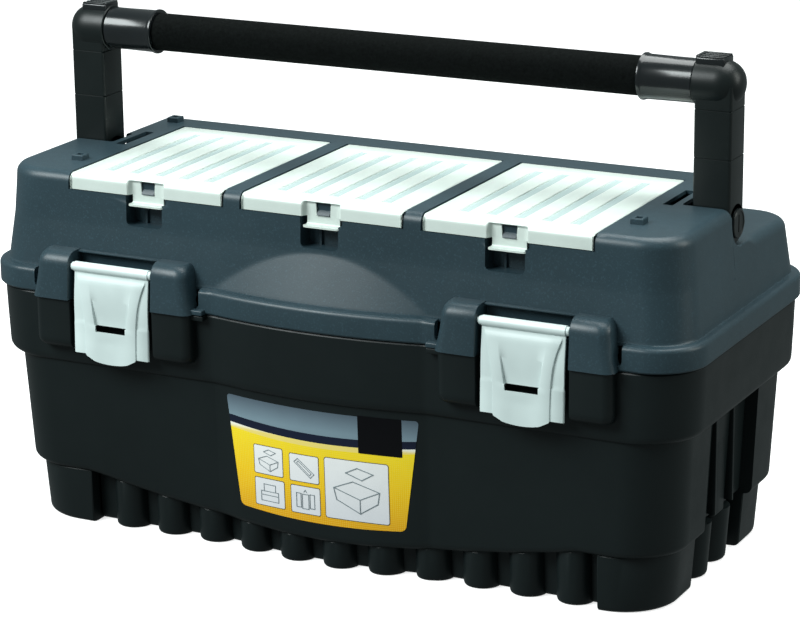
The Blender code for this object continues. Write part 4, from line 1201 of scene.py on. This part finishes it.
LABEL_LEFT = (-0.0704, -0.0803)
LABEL_RIGHT = (0.0720, 0.0843)
LABEL_Z = (0.0413, 0.1302)
LABEL_FIELD_Z = (0.0413, 0.1040)
LABEL_LINE_Z = (0.1040, 0.1079)
LABEL_STRIPE_Z = (0.1079, 0.1140)
LABEL_BAND_Z = (0.1140, 0.1302)
LABEL_PANELS_Z = (0.0432, 0.0935)
LABEL_MIDDLE = 0.003
LABEL_HALF = 0.080
LABEL_SAG = ((0.0413, 0.0035), (0.1040, 0.0045), (0.1140, 0.0040), (0.1303, 0.0010))


def panel_y(x, z):
    """The outer face of the bowed front panel."""
    foot_z = PANEL_FOOT_Z - PANEL_SAG * max(0.0, 1 - (x / SAG_HALF) ** 2)
    share = max(0.0, (z - foot_z) / (PANEL_TOP_Z - foot_z))
    return -PANEL_FOOT[1] - PANEL_LEAN[1] * share - bow_at(x, z)


def label_edge(side, z):
    low, high = LABEL_LEFT if side < 0 else LABEL_RIGHT
    return low + (high - low) * (z - LABEL_Z[0]) / (LABEL_Z[1] - LABEL_Z[0])


def label_drop(x, z):
    """How far the printed bands hang down in the middle of the label."""
    for (low, at_low), (high, at_high) in zip(LABEL_SAG, LABEL_SAG[1:]):
        if z <= high:
            depth = at_low + (at_high - at_low) * max(0.0, z - low) / (high - low)
            return depth * max(0.0, 1 - ((x - LABEL_MIDDLE) / LABEL_HALF) ** 2)
    return 0.0


def layer_lift(layer):
    return 0.00022 + 0.00007 * layer


def film(name, outline_at, rows, material, layer, columns=28, hanging=False):
    """A thin printed shape on the panel: outline_at gives its left and right edge at each height."""
    lift = layer_lift(layer)
    points = []
    for z in rows:
        left, right = outline_at(z)
        row = [(x, z - label_drop(x, z) if hanging else z) for x in between(left, right, columns)]
        points.append([(x, panel_y(x, height) - lift, height) for x, height in row])
    piece = new_piece(name, grid(points, closed=False), material, "base", outward=(0, -1, 0))
    thicken(piece, 0.0002)
    return bake(piece)


def corner_inset(reach, radius):
    """How far a rounded corner pulls the side in, at a height above the shape's end."""
    return radius - math.sqrt(max(0.0, radius ** 2 - max(0.0, radius - reach) ** 2))


def rounded_patch(name, left, right, low, high, radius, material, layer, columns=14):
    steps = 5
    rows = [low + radius * (1 - cosine(90 * step / steps)) for step in range(steps + 1)]
    rows += between(rows[-1], high - radius, 6)[1:-1] + [low + high - z for z in reversed(rows)]

    def edges(z):
        inset = corner_inset(min(z - low, high - z), radius)
        return left + inset, right - inset

    return film(name, edges, rows, material, layer, columns)


def stroke(points, width, layer):
    """A drawn line on the label through (x, z) points."""
    shapes = []
    for (x0, z0), (x1, z1) in zip(points, points[1:]):
        along = Vector((x1 - x0, z1 - z0)).normalized() * width / 2
        across = Vector((-along.y, along.x))
        ends = ((x0, z0, -1, -1), (x1, z1, 1, -1), (x1, z1, 1, 1), (x0, z0, -1, 1))
        corners = [(x + end * along.x + side * across.x, z + end * along.y + side * across.y)
                   for x, z, end, side in ends]
        lifts = (layer_lift(layer), layer_lift(layer) + 0.00012)
        rows = [[(x, panel_y(x, z) - lift, z) for x, z in corners] for lift in lifts]
        shapes.append(grid(rows, caps=(True, True)))
    return shapes


# Line drawings as (x, z) points, from -1 to 1 about their middle
OPEN_BOX = (
    [(-1.0, 0.05), (0.15, -0.35), (1.0, 0.05), (-0.15, 0.40), (-1.0, 0.05)],
    [(-1.0, 0.05), (-0.88, -0.45), (0.15, -0.95), (0.92, -0.45), (1.0, 0.05)],
    [(0.15, -0.35), (0.15, -0.95)],
    [(-0.45, 0.75), (0.25, 0.50), (0.75, 0.80), (0.05, 1.0), (-0.45, 0.75)],
)
LONG_TRAY = (
    [(-1.0, 0.55), (-0.62, 0.88), (1.0, -0.40), (0.62, -0.80), (-1.0, 0.55)],
    [(-0.72, 0.50), (-0.56, 0.64), (0.72, -0.38), (0.54, -0.56), (-0.72, 0.50)],
)
CLOSED_BOX = (
    [(-0.9, -0.8), (0.9, -0.8), (0.9, 0.1), (-0.9, 0.1), (-0.9, -0.8)],
    [(-0.9, -0.25), (0.9, -0.25)],
    [(-0.6, 0.1), (-0.6, 0.75), (0.6, 0.75), (0.6, 0.1)],
)
LATCH_AND_ARROW = (
    [(-0.9, -0.7), (-0.45, -0.7), (-0.45, 0.6), (-0.9, 0.6), (-0.9, -0.7)],
    [(0.9, -0.7), (0.45, -0.7), (0.45, 0.6), (0.9, 0.6), (0.9, -0.7)],
    [(-0.32, -0.8), (0.32, -0.8), (0.32, 0.55), (-0.32, 0.55), (-0.32, -0.8)],
    [(-0.15, 0.75), (0.0, 0.95), (0.15, 0.75)],
)

# Each ink's reach in height and its colours from the bottom to the top of that
LABEL_INKS = {
    "yellow": (LABEL_FIELD_Z, ((0.0, (0.78, 0.36, 0.004)), (0.45, (0.93, 0.56, 0.006)),
                               (1.0, (0.98, 0.74, 0.015)))),
    "cream": (LABEL_LINE_Z, ((0.0, (0.90, 0.72, 0.20)), (0.6, (0.93, 0.90, 0.74)),
                             (1.0, (0.94, 0.93, 0.84)))),
    "navy": (LABEL_STRIPE_Z, ((0.0, (0.012, 0.016, 0.035)), (1.0, (0.010, 0.014, 0.028)))),
    "grey": (LABEL_BAND_Z, ((0.0, (0.20, 0.28, 0.33)), (1.0, (0.085, 0.115, 0.145)))),
    "black": ((0.10, 0.1302), ((0.0, (0.004, 0.004, 0.005)), (1.0, (0.003, 0.003, 0.004)))),
    "white": (LABEL_PANELS_Z, ((0.0, (0.74, 0.75, 0.78)), (1.0, (0.90, 0.90, 0.89)))),
    "outline": (LABEL_PANELS_Z, ((0.0, (0.09, 0.075, 0.05)), (1.0, (0.11, 0.095, 0.07)))),
    "ink": (LABEL_PANELS_Z, ((0.0, (0.20, 0.24, 0.26)), (1.0, (0.24, 0.29, 0.31)))),
}

# Left, right, low and high of each panel, and its drawing; the last one is the large panel
LABEL_PANELS = (
    (-0.0563, -0.0293, 0.0700, 0.0939, OPEN_BOX),
    (-0.0238, 0.0024, 0.0695, 0.0923, LONG_TRAY),
    (-0.0563, -0.0286, 0.0440, 0.0672, CLOSED_BOX),
    (-0.0233, 0.0029, 0.0436, 0.0667, LATCH_AND_ARROW),
    (0.0068, 0.0600, 0.0439, 0.0935, OPEN_BOX),
)


def label_edges(z):
    inset = corner_inset(z - LABEL_Z[0], 0.004) + corner_inset(LABEL_Z[1] - z, 0.003)
    return label_edge(-1, z) + inset, label_edge(1, z) - inset


def build_label():
    inks = {name: printed(f"label_{name}", stops, *reach, dots=0.30 if name == "yellow" else 0.0)
            for name, (reach, stops) in LABEL_INKS.items()}
    field_rows = [LABEL_Z[0] + d for d in (0.0, 0.0004, 0.0012, 0.0022, 0.0032, 0.0040)]
    field_rows += between(0.0480, LABEL_FIELD_Z[1], 10)
    band_rows = between(LABEL_BAND_Z[0], 0.1272, 4) + [0.1284, 0.1293, 0.1299, 0.1302]
    strips = [film(f"label_{name}", label_edges, rows, inks[ink], 0, 40, True) for name, rows, ink in (
        ("field", field_rows, "yellow"), ("line", LABEL_LINE_Z, "cream"), ("stripe", LABEL_STRIPE_Z, "navy"),
        ("band", band_rows, "grey"))]
    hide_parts("front_label")
    rounded_patch("label_block", 0.0360, 0.0710, 0.1000, 0.1302, 0.0006, inks["black"], 1, 16)
    icons = []
    rim = 0.0006
    for number, (left, right, low, high, drawing) in enumerate(LABEL_PANELS, 1):
        large = number == len(LABEL_PANELS)
        radius = 0.0022 if large else 0.0016
        rounded_patch(f"label_frame_{number}", left, right, low, high, radius, inks["outline"], 1)
        rounded_patch(f"label_panel_{number}", left + rim, right - rim, low + rim, high - rim,
                      0.0018 if large else 0.0012, inks["white"], 2)
        middle_x, middle_z = (left + right) / 2, (low + high) / 2
        size = min(right - left, high - low) * 0.38
        for line in drawing:
            points = [(middle_x + x * size, middle_z + z * size) for x, z in line]
            icons += stroke(points, 0.0007 if large else 0.0005, 4)
    new_piece("label_icons", merged(icons), inks["ink"], "base")


# Stage

CAMERA_PLACE = (1.0396, -2.0329, 0.8454)
CAMERA_TURN = (26.993, 16.414, -0.628)
CAMERA_LENS = 135.64


def look_rotation(azimuth, elevation, roll):
    """Camera axes for a view from the front, turned by azimuth to the right and raised by elevation."""
    az, el = math.radians(azimuth), math.radians(elevation)
    back = Vector((math.sin(az) * math.cos(el), -math.cos(az) * math.cos(el), math.sin(el)))
    right = Vector((math.cos(az), math.sin(az), 0.0))
    up = back.cross(right)
    turn = Matrix((right, up, back)).transposed()
    return turn @ Matrix.Rotation(math.radians(roll), 3, "Z")


def build_camera():
    data = bpy.data.cameras.new("camera")
    data.lens = CAMERA_LENS
    data.sensor_width = 36.0
    data.dof.use_dof = False
    data.clip_end = 50.0
    camera = bpy.data.objects.new("camera", data)
    camera.matrix_world = Matrix.Translation(CAMERA_PLACE) @ look_rotation(*CAMERA_TURN).to_4x4()
    bpy.context.scene.collection.objects.link(camera)
    bpy.context.scene.camera = camera


def area_light(name, place, target, size, power, colour=(1, 1, 1)):
    data = bpy.data.lights.new(name, "AREA")
    data.shape = "RECTANGLE"
    data.size, data.size_y = size
    data.energy = power
    data.color = colour
    lamp = bpy.data.objects.new(name, data)
    lamp.location = place
    lamp.rotation_euler = (Vector(target) - Vector(place)).to_track_quat("-Z", "Y").to_euler()
    bpy.context.scene.collection.objects.link(lamp)


def build_stage():
    floor_shape = bmesh.new()
    bmesh.ops.create_grid(floor_shape, x_segments=1, y_segments=1, size=12.0)
    material, tree, shader = new_material("floor", 0.9)
    shader.inputs["Base Color"].default_value = (0.6, 0.6, 0.6, 1)
    shader.inputs["Specular IOR Level"].default_value = 0.0
    shader.inputs["Emission Color"].default_value = (1, 1, 1, 1)
    shader.inputs["Emission Strength"].default_value = 0.72
    floor = new_piece("floor", floor_shape, material, None, scene_only=True, outward=(0, 0, 1))
    floor.visible_diffuse = False
    floor.visible_glossy = False
    world = bpy.data.worlds.new("studio")
    bpy.context.scene.world = world
    world.use_nodes = True
    background = world.node_tree.nodes["Background"]
    background.inputs["Color"].default_value = (0.88, 1.0, 1.0, 1.0)
    background.inputs["Strength"].default_value = 0.24
    area_light("key", (-1.3, -1.7, 1.9), (0, 0, 0.2), (1.6, 1.2), 96, (0.93, 1.0, 1.0))
    area_light("top", (0.2, 0.5, 2.3), (0, 0, 0.25), (2.2, 1.4), 66, (0.96, 1.0, 0.99))
    area_light("side", (2.2, 0.5, 1.2), (0.2, 0, 0.2), (0.6, 1.4), 22, (0.95, 1.0, 0.95))
    settings = bpy.context.scene.view_settings
    settings.view_transform = "Standard"
    settings.look = "None"


def dress_nodes(metal, steel, tray_plastic, grey):
    """Better materials for the frame's own nodes that stay."""
    for name, material in (("handle_tube", metal), ("hinge_pin_left", steel), ("hinge_pin_right", steel),
                           ("tray", tray_plastic), ("tray_handle", grey)):
        part = frame["nodes"][name]
        part.data.materials.clear()
        part.data.materials.append(material)
        part.data.shade_smooth()
        part.data.set_sharp_from_angle(angle=math.radians(38))


def main():
    build_camera()
    build_stage()
    # In the moulded materials below, the third keyword sets the share of painted glints, light specks that
    # stand in for light catching the grain
    base = moulded("base_grain", (0.0065, 0.0103, 0.0107), 0.42, grain=1400, depth=0.16, glint_share=0.04,
                   Specular_IOR_Level=0.22)
    lid = moulded("lid_grain", (0.021, 0.041, 0.052), 0.40, grain=1100, depth=0.30, glint_share=0.25,
                  Specular_IOR_Level=0.35)
    arm = moulded("handle_satin", (0.0042, 0.0072, 0.0072), 0.38, grain=1600, depth=0.08, glint_share=0.03,
                  Specular_IOR_Level=0.30)
    gloss = moulded("gloss_black", (0.006, 0.008, 0.009), 0.20, grain=1800, depth=0.02, glint_share=0.0)
    grey = moulded("latch_silver", (0.65, 0.75, 0.735), 0.36, grain=1500, depth=0.05, glint_share=0.02)
    milky = frosted("cover_milky", (0.70, 0.78, 0.73), 0.28, Transmission_Weight=0.10)
    thin = frosted("cover_groove", (0.50, 0.62, 0.61), 0.25, Transmission_Weight=0.16)
    tray_plastic = moulded("tray_grain", (0.018, 0.021, 0.023), 0.45, grain=1400, depth=0.15, glint_share=0.08)
    sleeve = foam("grip_foam")
    metal = drawn_metal("drawn_aluminium", (0.80, 0.81, 0.82))
    steel = drawn_metal("drawn_steel", (0.52, 0.53, 0.55))

    build_tub(base)
    build_end_ribs(base)
    build_lower_bosses(base)
    build_base_trim(base)
    build_lid(lid)
    build_upper_bosses(lid)
    build_lid_trim(lid)
    for name, index in ORGANIZERS:
        build_cover(name, index, milky, thin)
    for name, sign in SIDES:
        build_latch(name, sign, grey)
        build_arm(name, sign, arm)
        build_clip(name, sign, gloss)
        build_ferrule(name, sign, gloss)
        build_pivot_pin(name, sign, arm)
    build_grip(sleeve)
    build_label()
    dress_nodes(metal, steel, tray_plastic, grey)


main()
